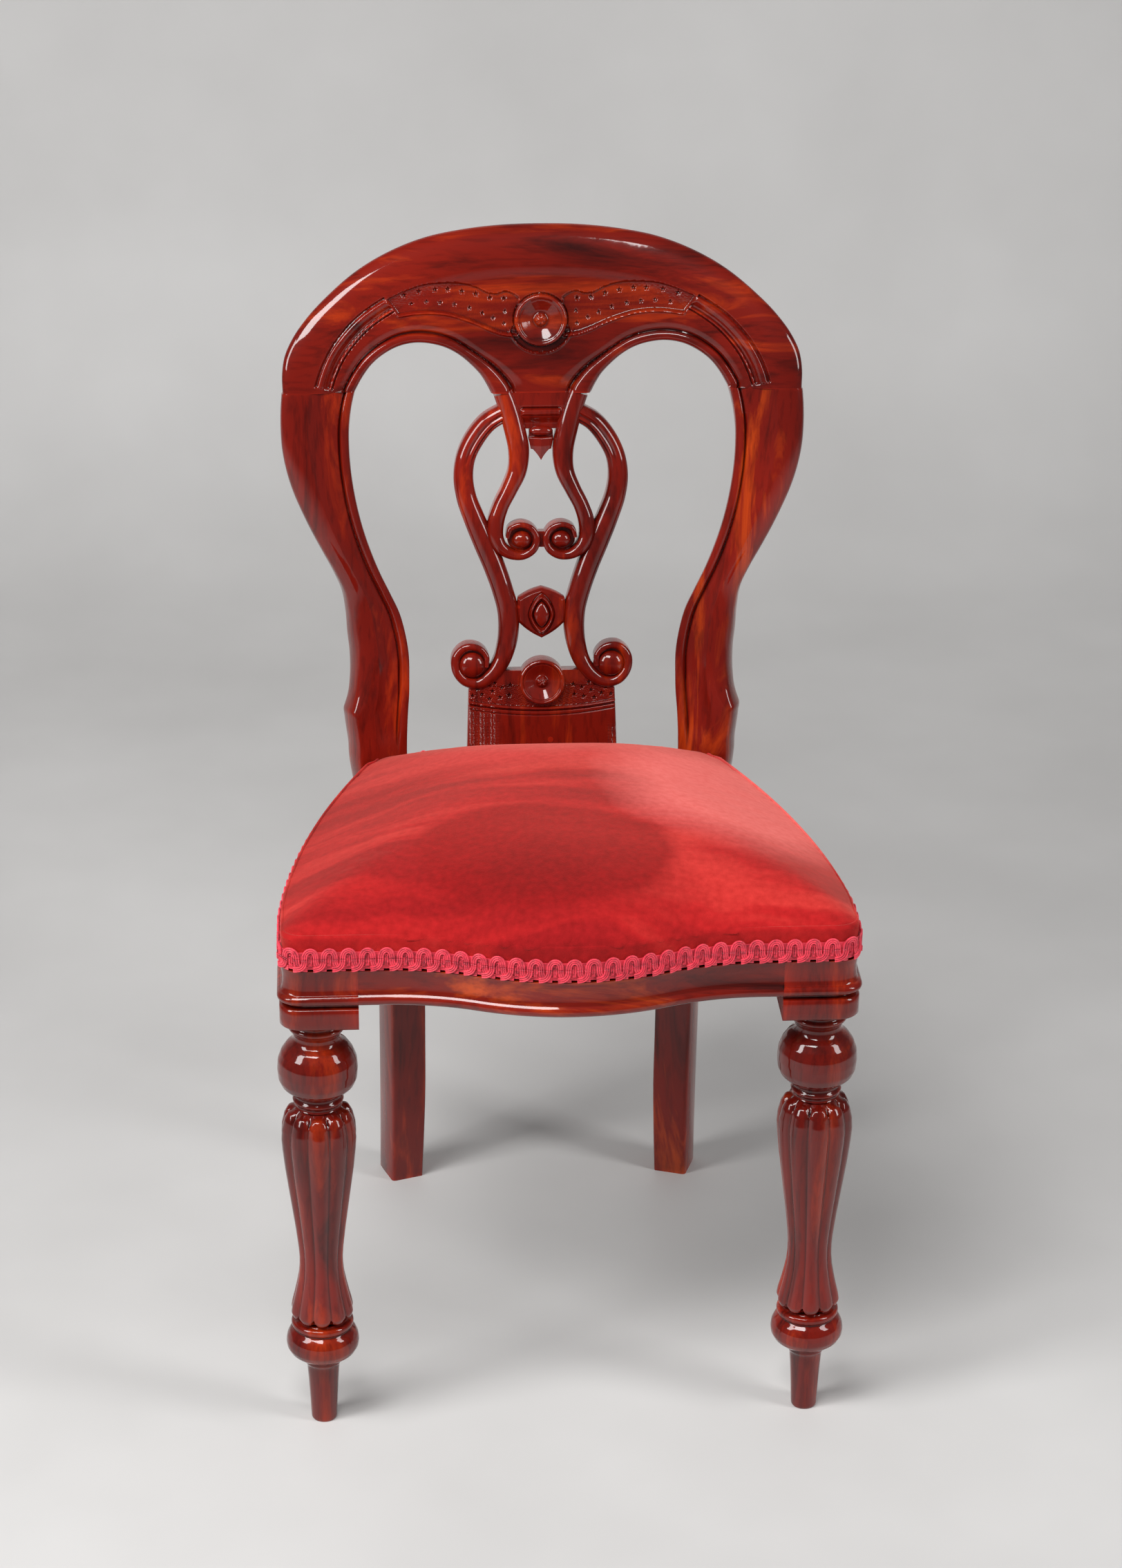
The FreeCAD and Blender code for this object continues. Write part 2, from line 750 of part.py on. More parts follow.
def band(points, left, right):
    """Outline of a strip along a curve, from left of it to right of it."""
    first = offset(points, left)
    last = offset(points, -right)
    return [spline(first), line(first[-1], last[-1]), spline(last), line(last[0], first[0])]


def roundel(centre, radius, front, depth):
    """A turned rosette: a round rim, a dished face and a small boss."""
    profile = [
        (depth, radius),
        (front + 2.0, radius),
        (front, radius - 1.2),
        (front + 0.4, radius - 3.4),
        (front + 2.6, radius * 0.68),
        (front + 3.6, radius * 0.30),
        (front + 1.4, radius * 0.24),
        (front + 0.6, radius * 0.10),
    ]
    return turned((centre[0], 0, centre[1]), (0, 1, 0), profile, 24)


def crest_shape():
    """The crest rail: sawn to the hoop, hollow in plan, rolled outside and carved in front."""
    outer = CREST_OUTER + mirror(CREST_OUTER[:-1])
    top = spline(outer)
    joint = line(ARCH[-1], CREST_OUTER[0])
    joint_left = line(mirror(CREST_OUTER)[-1], mirror(ARCH)[0])
    foot = line(mirror(ARCH)[-1], ARCH[0])
    thick = mm("crest_thickness")
    sawn = prism([top, joint_left, spline(mirror(ARCH)), foot, spline(ARCH), joint], -90, 60)
    body = sawn.common(curved_slab(0, thick)).Solids[0]
    body = body.makeChamfer(mm("roll"), [edge for edge in body.Edges if hoop_edge(edge, 0)])
    body = body.makeChamfer(mm("roll") * 0.6, [edge for edge in body.Edges if hoop_edge(edge, thick)])
    for direction in (1, -1):
        rim = ARCH if direction == 1 else mirror(ARCH)
        strip = prism(band(rim, mm("bead_width"), 4.0), -90, 60).common(sawn)
        body = body.fuse(strip.common(curved_slab(-mm("bead_height"), 6)))
        sunk = curved_slab(-30, mm("panel_sunk"))
        body = body.cut(banner(direction).common(sunk))
        for flute in FLUTES:
            track = flute if direction == 1 else mirror(flute)
            body = body.cut(prism(band(track, 2.4, 2.4), -90, 60).common(curved_slab(-30, 1.6)))
    radius = mm("roundel_radius")
    hole = turned((MEDALLION[0], 0, MEDALLION[1]), (0, 1, 0), [(-20, radius), (10, radius)], 24)
    return body.cut(hole).fuse(roundel(MEDALLION, radius, -2.0, 12.0)).removeSplitter().Solids[0]


def hoop_edge(edge, depth):
    """True for the edges of the crest rail's outer side, at a depth behind its front."""
    middle = edge.valueAt((edge.FirstParameter + edge.LastParameter) / 2)
    radius = mm("back_plan_radius")
    at_depth = abs(math.hypot(middle.x, middle.y + radius) - radius - depth) < 0.1
    outside = math.hypot(middle.x, middle.z - 300) > 190 and middle.z > mm("post_joint") + 0.1
    return at_depth and outside


def banner(direction):
    """The sunk panel beside the medallion."""
    top = [(direction * x, z) for x, z in BANNER_TOP]
    foot = [(direction * x, z) for x, z in BANNER_FOOT]
    notch = (direction * 137.0, 430.0)
    edges = [
        spline(top),
        line(top[-1], notch),
        line(notch, foot[0]),
        spline(foot),
        arc(foot[-1], (direction * 26.8, 418.0), top[0]),
    ]
    return prism(edges, -90, 60)


# The pierced and carved splat

INNER_STRAP = [
    # Across, up, width: from the crest rail down and inward round the small scroll
    (35.0, 345.0, 19.0), (29.5, 330.0, 19.5), (24.5, 310.0, 20.0), (20.5, 290.0, 19.0),
    (22.5, 271.0, 17.5), (30.0, 253.0, 15.0), (38.0, 237.0, 14.5), (42.5, 222.0, 15.0),
    (42.5, 208.0, 14.0), (37.0, 197.0, 11.5), (27.0, 191.5, 8.5), (15.5, 191.5, 7.5),
    (7.0, 198.5, 7.0), (5.5, 209.0, 6.5), (12.0, 217.5, 6.0), (21.5, 219.0, 5.5),
]
OUTER_STRAP = [
    # Across, up, width: from behind the inner strap round the loop and out to the large scroll
    (34.0, 325.0, 17.0), (49.0, 316.0, 18.0), (61.0, 302.0, 18.5), (70.0, 284.0, 18.0),
    (72.5, 264.0, 18.5), (70.0, 246.0, 19.0), (63.0, 226.0, 20.0), (53.5, 203.0, 21.0),
    (44.0, 179.0, 20.5), (36.5, 157.0, 20.0), (31.5, 137.0, 20.0), (31.0, 120.0, 19.5),
    (33.5, 102.0, 18.0), (39.0, 86.5, 15.0), (48.5, 74.0, 12.0), (60.5, 68.0, 10.0),
    (73.0, 71.5, 9.5), (80.0, 83.0, 9.0), (78.0, 95.5, 8.5), (67.0, 101.5, 8.0), (56.0, 97.5, 7.0),
]


def strap(stations, crown, back, bevel):
    """A carved strap: a band along its course with bevelled front edges."""
    spots = [Vector(x, 0, z) for x, z, width in stations]
    curve = Part.BSplineCurve()
    curve.interpolate(spots)
    left = []
    right = []
    for spot, (x, z, width) in zip(spots, stations):
        along = curve.tangent(curve.parameter(spot))[0]
        left.append((x - along.z * width / 2, z + along.x * width / 2))
        right.append((x + along.z * width / 2, z - along.x * width / 2))
    edges = [spline(left), line(left[-1], right[-1]), spline(right), line(right[0], left[0])]
    solid = prism(edges, crown, back)
    return solid.makeChamfer(bevel, [edge for edge in solid.Edges if front_long(edge, crown)])


def eye(centre, radius, crown, back):
    """The round end of a scroll: a low dome on a square-sided core."""
    profile = [(back, radius), (crown + 4.2, radius), (crown + 1.5, radius * 0.84), (crown + 0.2, radius * 0.5)]
    return turned((centre[0], 0, centre[1]), (0, 1, 0), profile, 16)


def polygon(corners, front, back):
    edges = [line(a, b) for a, b in zip(corners, corners[1:] + corners[:1])]
    return prism(edges, front, back)


def splat_shape():
    """A flat board, pierced, with straps, scrolls, a lozenge, a pendant leaf and a rosette."""
    back = mm("splat_thickness")
    joint = mm("splat_joint")
    wedge = polygon([(-38, joint), (38, joint), (24, 318), (-24, 318)], 1.0, back)
    bar = Part.makeCylinder(6.0, 44, Vector(-22, 5.2, 324.5), Vector(1, 0, 0))
    drop = prism(
        [
            arc((-12.0, 306.0), (0.0, 311.5), (12.0, 306.0)),
            arc((12.0, 306.0), (8.5, 291.0), (0.0, 279.0)),
            arc((0.0, 279.0), (-8.5, 291.0), (-12.0, 306.0)),
        ],
        2.0,
        back - 2,
    )
    tie = polygon([(-26, 322), (26, 322), (22, 300), (14, 288), (-14, 288), (-22, 300)], 4.0, back - 2)
    body = wedge.fuse([bar, drop, tie])
    for direction in (1, -1):
        inner = [(direction * x, z, width) for x, z, width in INNER_STRAP]
        outer = [(direction * x, z, width) for x, z, width in OUTER_STRAP]
        body = body.fuse(strap(outer, 0.8, back - 0.5, 2.6))
        body = body.fuse(strap(inner, -1.5, back - 1.0, 2.2))
        body = body.fuse(eye((direction * 18.0, 206.5), 9.5, 0.5, back - 1.5))
        body = body.fuse(eye((direction * 64.0, 86.0), 12.5, 0.5, back - 1.5))
    bridge = polygon([(-12, 212), (12, 212), (12, 198), (-12, 198)], 5.0, back - 2)
    lozenge = polygon(
        [(0, 158), (24, 148), (24, 126), (0, 111), (-24, 126), (-24, 148)], 3.0, back - 2
    )
    almond = prism([arc((0, 150), (9.5, 133.5), (0, 117)), arc((0, 117), (-9.5, 133.5), (0, 150))], 1.0, 8)
    panel = polygon([(-68.5, 64), (-36, 80), (36, 80), (68.5, 64), (71.5, -10), (-71.5, -10)], 4.0, back)
    apron = polygon([(-69.6, 43), (0, 39.5), (69.6, 43), (71.5, -10), (-71.5, -10)], 3.0, back)
    tenon = polygon([(-50, -8), (50, -8), (50, -26), (-50, -26)], 5.0, back - 5)
    radius = mm("roundel_radius")
    hole = turned((0, 0, 68.5), (0, 1, 0), [(-2, radius), (8, radius)], 24)
    body = body.fuse([bridge, lozenge, almond, panel, apron, tenon])
    return body.cut(hole).fuse(roundel((0.0, 68.5), radius, -1.2, 15.0))


# Upholstery, in the seat's frame: X across, Y to the rear of the leg blocks, Z square to the rails

def seat_plan(inset):
    """The seat's outline in plan: bowed front, round front corners, sides drawn in to the back."""
    front_y = mm("leg_axis_y") - mm("block_front") - mm("seat_fall_start") + inset
    rear = mm("seat_rear_y") - mm("seat_fall_start") - inset
    corner = mm("block_corner")
    wide = mm("leg_axis_x") + mm("block_out") - inset
    half = []
    for number in range(9):
        x = mm("bow_half_width") * number / 8
        half.append((x, front_y - bow_at(x)))
    for number in range(4):
        turn = math.radians(30 * number)
        half.append((wide - corner + corner * math.sin(turn), front_y + corner - corner * math.cos(turn)))
    for number in range(6):
        along = rear * number / 5
        half.append((side_line(along, inset), along))
    return half + [(-x, y) for x, y in reversed(half[1:])]


def cushion(inset, crown, foot):
    """A domed pad over the seat's plan: level rings drawn in to the middle, fuller to the front."""
    plan = seat_plan(inset)
    middle = mm("crown_middle_y")
    half_width = mm("leg_axis_x")
    front_reach = middle - plan[0][1]
    rings = [[Vector(x, y, foot) for x, y in plan]]
    for share in (0.0, 0.15, 0.32, 0.50, 0.67, 0.82, 0.93, 0.985):
        ring = []
        for x, y in plan:
            aside = (x / half_width) ** 2
            ahead = (max(middle - y, 0) / front_reach) ** 2
            to_front = ahead / (aside + ahead + 0.05)
            fullness = 1.8 + 1.4 * to_front
            root = 1.0 - 0.4 * to_front
            spread = (1 - share ** (1 / root)) ** (1 / fullness)
            ring.append(Vector(x * spread, middle + (y - middle) * spread, crown * share))
        rings.append(ring)
    return stack(rings, halved=True)


def cover_shape():
    """The velvet: a thin crowned shell with its edges turned down over the rails."""
    thick = mm("cover_thickness")
    outer = cushion(mm("cover_inset"), mm("crown"), -17.0)
    inner = cushion(mm("cover_inset") + thick, mm("crown") - thick, -19.0)
    shape = outer.cut(inner)
    shape.Placement = SEAT
    return shape


def stuffing_shape():
    thick = mm("cover_thickness") + 0.2
    pad_shape = cushion(mm("cover_inset") + thick, mm("crown") - thick, -1.0)
    above = Part.makeBox(700, 700, 100, Vector(-350, -200, 3.4))
    shape = pad_shape.common(above)
    shape.Placement = SEAT
    return shape


def strip_band(points, thick, bottom, height):
    """An upright strip that follows a line in plan, its inner side on the line."""
    wire = Part.makePolygon([Vector(x, y, bottom) for x, y in points])
    inner = [edge for edge in wire.Edges]
    outward = []
    for number, (x, y) in enumerate(points):
        first = points[max(number - 1, 0)]
        last = points[min(number + 1, len(points) - 1)]
        run = math.hypot(last[0] - first[0], last[1] - first[1])
        outward.append((x + (last[1] - first[1]) / run * thick, y - (last[0] - first[0]) / run * thick))
    outer = Part.makePolygon([Vector(x, y, bottom) for x, y in outward])
    ends = [
        Part.makeLine(Vector(*points[0], bottom), Vector(*outward[0], bottom)),
        Part.makeLine(Vector(*points[-1], bottom), Vector(*outward[-1], bottom)),
    ]
    face = Part.Face(Part.Wire(Part.sortEdges(inner + outer.Edges + ends)[0]))
    return face.extrude(Vector(0, 0, height))


def gimp_shape():
    """Braid round the front and both sides of the seat, over the edge of the cover."""
    inset = mm("cover_inset") - 0.2
    front_y = mm("leg_axis_y") - mm("block_front") + inset
    wide = mm("leg_axis_x") + mm("block_out") - inset
    corner = mm("block_corner")
    half = [(x, front_y - bow_at(x)) for x in range(0, 165, 10)]
    for number in range(7):
        turn = math.radians(15 * number)
        half.append((wide - corner + corner * math.sin(turn), front_y + corner - corner * math.cos(turn)))
    half.append((wide, mm("seat_fall_start")))
    course = [(-x, y) for x, y in reversed(half)] + half[1:]
    tall = mm("gimp_height")
    thick = mm("gimp_thickness")
    front = strip_band(course, thick, mm("ledge") + 0.2, tall)
    pieces = [front]
    reach = mm("side_rear_y") - mm("seat_fall_start")
    run = [(side_line(reach * step / 12, inset), reach * step / 12) for step in range(13)]
    side = strip_band(run, thick, mm("ledge") + 0.2 - mm("rail_top"), tall)
    side.Placement = SEAT
    return front.fuse([side, side.mirror(Vector(0, 0, 0), Vector(1, 0, 0))])


def flat_strip(low_x, high_x, low_y, high_y, bottom, thick):
    shape = Part.makeBox(high_x - low_x, high_y - low_y, thick, Vector(low_x, low_y, bottom))
    shape.Placement = SEAT
    return shape


def webbing_shapes():
    """Two crossed layers of webbing, nailed across the tops of the rails."""
    thick = mm("webbing_thickness")
    half = mm("webbing_width") / 2
    rear = mm("seat_rear_y") - mm("seat_fall_start") - 6
    strips = []
    for x in (-115.0, 0.0, 115.0):
        strips.append(flat_strip(x - half, x + half, -52.0, rear, 0.2, thick))
    for y in (60.0, 165.0, 270.0):
        reach = side_line(y + half) - 10
        strips.append(flat_strip(-reach, reach, y - half, y + half, 0.2 + thick, thick))
    return strips


def plan_sheet(inset, front, rear, bottom, thick):
    """A flat sheet cut to the seat's plan."""
    sides = [(side_line(y, inset), y) for y in (0.0, 90.0, 180.0, 270.0, 340.0)]
    right = [(side_line(front, inset), front)] + sides + [(side_line(rear, inset), rear)]
    corners = [Vector(x, y, bottom) for x, y in right] + [Vector(-x, y, bottom) for x, y in reversed(right)]
    face = Part.Face(Part.makePolygon(corners + corners[:1]))
    shape = face.extrude(Vector(0, 0, thick))
    shape.Placement = SEAT
    return shape


# Corner braces, dowels and screws

def brace_body(name, corners):
    body = new_body(name + "_body")
    sketch = new_sketch(body, name + "_plan", "XY_Plane", size("block_brace_bottom"))
    draw(sketch, corners[0], [[corner] for corner in corners[1:] + corners[:1]])
    pad(body, name + "_pad", sketch, size("brace_height"))
    return body


def dowel(name, centre, direction, length=None):
    """A peg whittled to eight sides, half in each of the pieces that it joins."""
    along = Vector(*direction)
    along.normalize()
    reach = length if length else size("dowel_length")
    base = Vector(*centre) - along * (as_size(reach).value / 2)
    return peg(name, size("dowel_radius"), reach, base, along, 8)


def peg(name, radius, height, base, direction, sides):
    item = doc.addObject("Part::Prism", name)
    item.Polygon = sides
    bind(item, "Circumradius", radius)
    bind(item, "Height", height)
    item.Placement = Placement(base, Rotation(Vector(0, 0, 1), direction))
    return item


def screw(name, head, direction, length):
    """A wood screw with a plain shank, a countersunk head and a short point, cut to ten flats."""
    along = Vector(*direction)
    along.normalize()
    reach = as_size(length).value
    shank = mm("screw_radius")
    profile = [(0.0, mm("screw_head_radius")), (3.2, shank), (reach - 5.0, shank), (reach, shank * 0.3)]
    item = solid_piece(name, turned((0, 0, 0), (0, 0, 1), profile, 10))
    item.Placement = Placement(Vector(*head), Rotation(Vector(0, 0, 1), along))
    return item


def mirrored(item, name):
    twin = doc.addObject("Part::Mirroring", name)
    twin.Source = item
    twin.Normal = Vector(1, 0, 0)
    return twin


def in_back(x, y, z):
    """A point of the back's own frame, in the chair's."""
    return tuple(BACK.multVec(Vector(x, y, z)))


def pair(name, item):
    return [item, mirrored(item, name + "_twin")]


def build():
    leg = front_leg()
    front_rail = front_rail_body()
    side_rail = solid_piece("side_rail_board", side_rail_shape())
    back_rail = back_rail_body()
    post = solid_piece("post_stick", post_shape())
    crest = crest_shape()
    crest.Placement = BACK
    crest = solid_piece("crest_board", crest)
    splat = splat_shape()
    splat.Placement = BACK
    splat = solid_piece("splat_board", splat)
    doc.recompute()

    block_x = mm("leg_axis_x") - mm("block_in")
    back_of_block = mm("seat_fall_start")
    up = BACK.Rotation.multVec(Vector(0, 0, 1))
    rail_dowels = []
    for number, z in enumerate((451.0, 472.0)):
        rail_dowels += pair(f"front_dowel_{number}", dowel(f"front_dowel_{number}", (block_x, -252.5, z), (1, 0, 0)))
        side = dowel(f"side_dowel_{number}", (235.5, back_of_block, z - 2), (-0.16, 1, -0.04))
        rail_dowels += pair(f"side_dowel_{number}", side)
    for number, z in enumerate((428.0, 448.0)):
        rear = dowel(f"rear_dowel_{number}", (160.0, 160.0, z), (-0.14, 1, -0.06), size("dowel_length") - 4)
        rail_dowels += pair(f"rear_dowel_{number}", rear)
        cross = dowel(f"cross_dowel_{number}", (120.0, 182.0, z - 2), (1, 0, 0))
        rail_dowels += pair(f"cross_dowel_{number}", cross)
    rail_dowels = group("rail_dowels_group", rail_dowels)

    crest_dowels = []
    for number, x in enumerate((198.0, 216.0)):
        bow = mm("back_plan_radius") - math.sqrt(mm("back_plan_radius") ** 2 - x ** 2)
        pin = dowel(f"post_dowel_{number}", in_back(x, 16.0 - bow, mm("post_joint")), up)
        crest_dowels += pair(f"post_dowel_{number}", pin)
    pin = dowel("splat_dowel", in_back(34.0, 11.0, mm("splat_joint")), up, size("dowel_length") * 0.7)
    pin.setExpression("Circumradius", "Sizes.dowel_radius * 0.8")
    crest_dowels += pair("splat_dowel", pin)
    crest_dowels = group("crest_dowels_group", crest_dowels)

    into = BACK.Rotation.multVec(Vector(0, 1, 0))
    plug = cylinder("splat_plug_pin", 2.8, 5.6, Vector(*in_back(8.0, 3.0, 11.5)), into)
    splat_screw = screw("splat_screw_pin", in_back(8.0, 13.5, 9.0), -up, size("screw_length"))

    front_corners = [(124.0, -239.8), (180.8, -239.8), (180.8, -198.8), (222.8, -198.8), (208.3, -130.0)]
    rear_corners = [(66.0, 162.8), (119.0, 162.8), (149.7, 150.8), (163.4, 84.0)]
    front_brace = brace_body("front_brace", front_corners)
    rear_brace = brace_body("rear_brace", rear_corners)
    rear_brace.Placement = Placement(Vector(0, 0, -17), Rotation())
    long_screw = size("screw_length") + 5
    screws = []
    for name, head, way in (
        ("front_brace_screw_1", (160.0, -200.5, 453.0), (0, -1, 0)),
        ("front_brace_screw_2", (189.0, -170.0, 453.0), (1, 0, 0)),
        ("rear_brace_screw_1", (104.0, 137.0, 436.0), (0, 1, 0)),
        ("rear_brace_screw_2", (140.0, 115.0, 436.0), (1, 0, 0)),
    ):
        screws += pair(name, screw(name, head, way, long_screw))
    screws = group("brace_screws_group", screws)
    doc.recompute()

    side_rail = cut("side_rail", side_rail, [post, rail_dowels, screws])
    leg = cut("leg", leg, [rail_dowels])
    back_post = cut("back_post", post, [rail_dowels, crest_dowels])
    posts = group("both_posts", [post, mirrored(post, "post_twin")])
    keep(mirrored(leg, "front_leg_left_twin"), "front_leg_left")
    keep(leg, "front_leg_right")
    keep(mirrored(back_post, "back_post_left_twin"), "back_post_left")
    keep(back_post, "back_post_right")
    keep(cut("crest", crest, [crest_dowels]), "crest_rail")
    keep(cut("front_rail", front_rail, [rail_dowels, screws]), "front_rail")
    keep(cut("back_rail", back_rail, [posts, splat, splat_screw, rail_dowels, screws]), "back_rail")
    keep(cut("splat", splat, [crest_dowels, plug, splat_screw]), "splat")
    keep(mirrored(side_rail, "side_rail_left_twin"), "side_rail_left")
    keep(side_rail, "side_rail_right")
    front_brace = cut("front_brace_cut", front_brace, [screws])
    rear_brace = cut("rear_brace_cut", rear_brace, [post, screws])
    keep(mirrored(front_brace, "front_brace_twin"), "corner_block_front_left")
    keep(front_brace, "corner_block_front_right")
    keep(mirrored(rear_brace, "rear_brace_twin"), "corner_block_rear_left")
    keep(rear_brace, "corner_block_rear_right")
    keep(screws, "corner_block_screws")
    keep(rail_dowels, "rail_dowels")
    keep(crest_dowels, "crest_dowels")
    keep(plug, "splat_plug")
    keep(splat_screw, "splat_screw")

    strips = [solid_piece(f"web_{number}", shape) for number, shape in enumerate(webbing_shapes())]
    keep(group("webbing_group", strips), "seat_webbing")
    thick = mm("webbing_thickness")
    rear = mm("seat_rear_y") - mm("seat_fall_start") - 5
    hessian = plan_sheet(9.0, -54.0, rear, 0.3 + 2 * thick, mm("hessian_thickness"))
    keep(cut("hessian", solid_piece("hessian_sheet", hessian), [posts]), "seat_hessian")
    keep(cut("stuffing", solid_piece("stuffing_pad", stuffing_shape()), [posts]), "seat_stuffing")
    cover = cut("cover", solid_piece("cover_skin", cover_shape()), [posts, back_rail])
    keep(cover, "seat_cover")
    keep(cut("gimp", solid_piece("gimp_strip", gimp_shape()), [posts]), "gimp_braid")
    edge_y = mm("seat_rear_y") - mm("seat_fall_start") + 0.2
    rear_gimp = flat_strip(-118.0, 118.0, edge_y, edge_y + 2.4, 0.0, 12.0)
    keep(solid_piece("gimp_rear_strip", rear_gimp), "gimp_back")
    sheet_bottom = mm("rail_bottom") - mm("rail_top") - 0.2 - mm("dust_cover_thickness")
    dust = plan_sheet(10.0, -40.0, rear + 20, sheet_bottom, mm("dust_cover_thickness"))
    legs = group("both_legs", [leg, PARTS["front_leg_left"]])
    keep(cut("dust_cover_cut", solid_piece("dust_sheet", dust), [posts, legs, splat]), "dust_cover")


def check_and_export():
    doc.recompute()
    for item in doc.Objects:
        if "Invalid" in item.State or "Error" in item.State:
            raise RuntimeError(f"{item.Name} did not build: {item.State}")
    os.makedirs("parts", exist_ok=True)
    for label, item in PARTS.items():
        shape = item.Shape
        if shape.isNull() or not shape.isValid() or not shape.Solids:
            raise RuntimeError(f"{label} is not a sound solid")
        shape.exportStep(f"parts/{label}.step")


build()
check_and_export()
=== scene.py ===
import math

import bmesh
import bpy
import numpy as np
from mathutils import Matrix, Vector


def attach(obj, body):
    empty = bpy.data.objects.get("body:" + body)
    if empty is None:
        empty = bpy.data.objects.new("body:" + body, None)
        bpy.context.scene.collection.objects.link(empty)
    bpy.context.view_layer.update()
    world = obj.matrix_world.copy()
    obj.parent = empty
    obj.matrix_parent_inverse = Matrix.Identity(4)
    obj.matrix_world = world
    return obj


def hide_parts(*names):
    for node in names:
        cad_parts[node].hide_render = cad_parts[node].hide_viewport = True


bl_info = {
    "name": "Balloon Back Chair",
    "version": (1, 0, 0),
    "blender": (4, 5, 0),
    "location": "View3D > Sidebar > Chair",
    "description": "Dresses the frame of a carved balloon back chair with its polish, carving and velvet",
    "category": "Add Mesh",
}

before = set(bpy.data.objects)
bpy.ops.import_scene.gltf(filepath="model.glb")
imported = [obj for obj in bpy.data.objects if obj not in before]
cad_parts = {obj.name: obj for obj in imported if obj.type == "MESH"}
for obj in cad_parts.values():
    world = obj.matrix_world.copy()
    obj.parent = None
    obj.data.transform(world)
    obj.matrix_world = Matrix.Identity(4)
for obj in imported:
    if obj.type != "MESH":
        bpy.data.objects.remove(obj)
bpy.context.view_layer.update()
BODY = "root"

# The chair's fixed lines, in metres, as its frame has them
BACK_Y = 0.185
BACK_Z = 0.470
RAKE = math.radians(9.65)
PLAN_RADIUS = 0.610
POST_TURN = math.radians(19.5)
SPLAT_JOINT = 0.345
SEAT_START = -0.199
SEAT_FALL = math.tan(math.radians(3.4))
SEAT_RUN = 0.357
RAIL_TOP = 0.486
FRONT = -0.265
HALF_WIDTH = 0.249
SEAT_CORNER = 0.018
LEG_X = 0.2175
LEG_Y = -0.227
BLOCK_INNER = -0.0362
BOW = 0.030
BOW_HALF = 0.160

# The lights over the seat's middle: place, width, height in metres and power in watts
LAMPS = (
    ("key_lamp", (-0.9, -1.6, 3.0), 1.7, 0.9, 78),
    ("left_lamp", (-2.1, -1.1, 1.9), 0.8, 1.6, 50),
    ("right_lamp", (2.2, -1.2, 1.8), 0.7, 1.7, 36),
)
LAMP_AIM = (0, 0, 0.55)
CAMERA_PLACE = (-0.1989, -3.180, 1.9454)
CAMERA_YAW, CAMERA_PITCH, CAMERA_ROLL = -0.0644, 0.4208, 0.0089

# The floor and the backdrop that it turns up into: to the rear and up
BACKDROP = ((-4.0, 0.0), (1.2, 0.0), (1.6, 0.0), (1.9, 0.05), (2.1, 0.25), (2.2, 0.6), (2.2, 4.0))

# The seat's cloth: grid size, pressure, steps, greatest move and the height over which its foot is held
CLOTH_GRID = 0.005
CLOTH_PRESSURE = 4
CLOTH_STEPS = 20
CLOTH_MOVE = 0.008
CLOTH_HELD = 0.012
SHEET_LOW = 0.0034


# Meshes


def through(knots, values, at):
    """Values at places between knots: a cubic through every knot, its slope there that of its neighbours."""
    knots = np.asarray(knots, float)
    values = np.asarray(values, float)
    slope = np.gradient(values, knots, axis=0)
    at = np.clip(at, knots[0], knots[-1])
    cell = np.clip(np.searchsorted(knots, at) - 1, 0, len(knots) - 2)
    width = knots[cell + 1] - knots[cell]
    share = (at - knots[cell]) / width
    if values.ndim > 1:
        width = width[:, None]
        share = share[:, None]
    square = share * share
    cube = square * share
    return (
        (2 * cube - 3 * square + 1) * values[cell]
        + (cube - 2 * square + share) * width * slope[cell]
        + (3 * square - 2 * cube) * values[cell + 1]
        + (cube - square) * width * slope[cell + 1]
    )


def course(points, count):
    """Points evenly spaced along the smooth line through the given ones."""
    points = np.asarray(points, float)
    knots = np.concatenate([[0.0], np.cumsum(np.linalg.norm(np.diff(points[:, :2], axis=0), axis=1))])
    fine = through(knots, points, np.linspace(0, knots[-1], 12 * count))
    run = np.concatenate([[0.0], np.cumsum(np.linalg.norm(np.diff(fine[:, :2], axis=0), axis=1))])
    even = np.linspace(0, run[-1], count)
    return np.stack([np.interp(even, run, fine[:, axis]) for axis in range(fine.shape[1])], axis=1)


def nearest(u, v, line):
    """Signed distance to a polyline, above zero on its left, and how far along it the nearest place lies."""
    flat = np.stack([u.ravel(), v.ravel()], axis=1)
    best = np.full(len(flat), 9.0)
    signed = best.copy()
    along = np.zeros(len(flat))
    passed = 0.0
    for start, end in zip(line[:-1, :2], line[1:, :2]):
        step = end - start
        length = math.hypot(step[0], step[1])
        share = np.clip(((flat - start) @ step) / max(length**2, 1e-12), 0, 1)
        off_u = flat[:, 0] - start[0] - share * step[0]
        off_v = flat[:, 1] - start[1] - share * step[1]
        gap = np.hypot(off_u, off_v)
        nearer = gap < best
        best = np.where(nearer, gap, best)
        signed = np.where(nearer, np.copysign(gap, step[0] * off_v - step[1] * off_u), signed)
        along = np.where(nearer, passed + share * length, along)
        passed += length
    return signed.reshape(u.shape), along.reshape(u.shape)


def distance_to(u, v, line):
    """Distance from each point (u, v) to a polyline."""
    return np.abs(nearest(u, v, line)[0])


def inside(u, v, loop):
    """True for each point (u, v) that a closed polyline holds, by counting crossings to the right."""
    held = np.zeros(u.shape, bool)
    for (x0, y0), (x1, y1) in zip(loop, np.roll(loop, -1, axis=0)):
        if y0 == y1:
            continue
        cross = (v > y0) != (v > y1)
        held ^= cross & (u < x0 + (v - y0) * (x1 - x0) / (y1 - y0))
    return held


def smoothstep(low, high, value):
    """An even rise from 0 at low to 1 at high: 3 s^2 - 2 s^3 of the share s between them."""
    share = np.clip((value - low) / (high - low), 0, 1)
    return share * share * (3 - 2 * share)


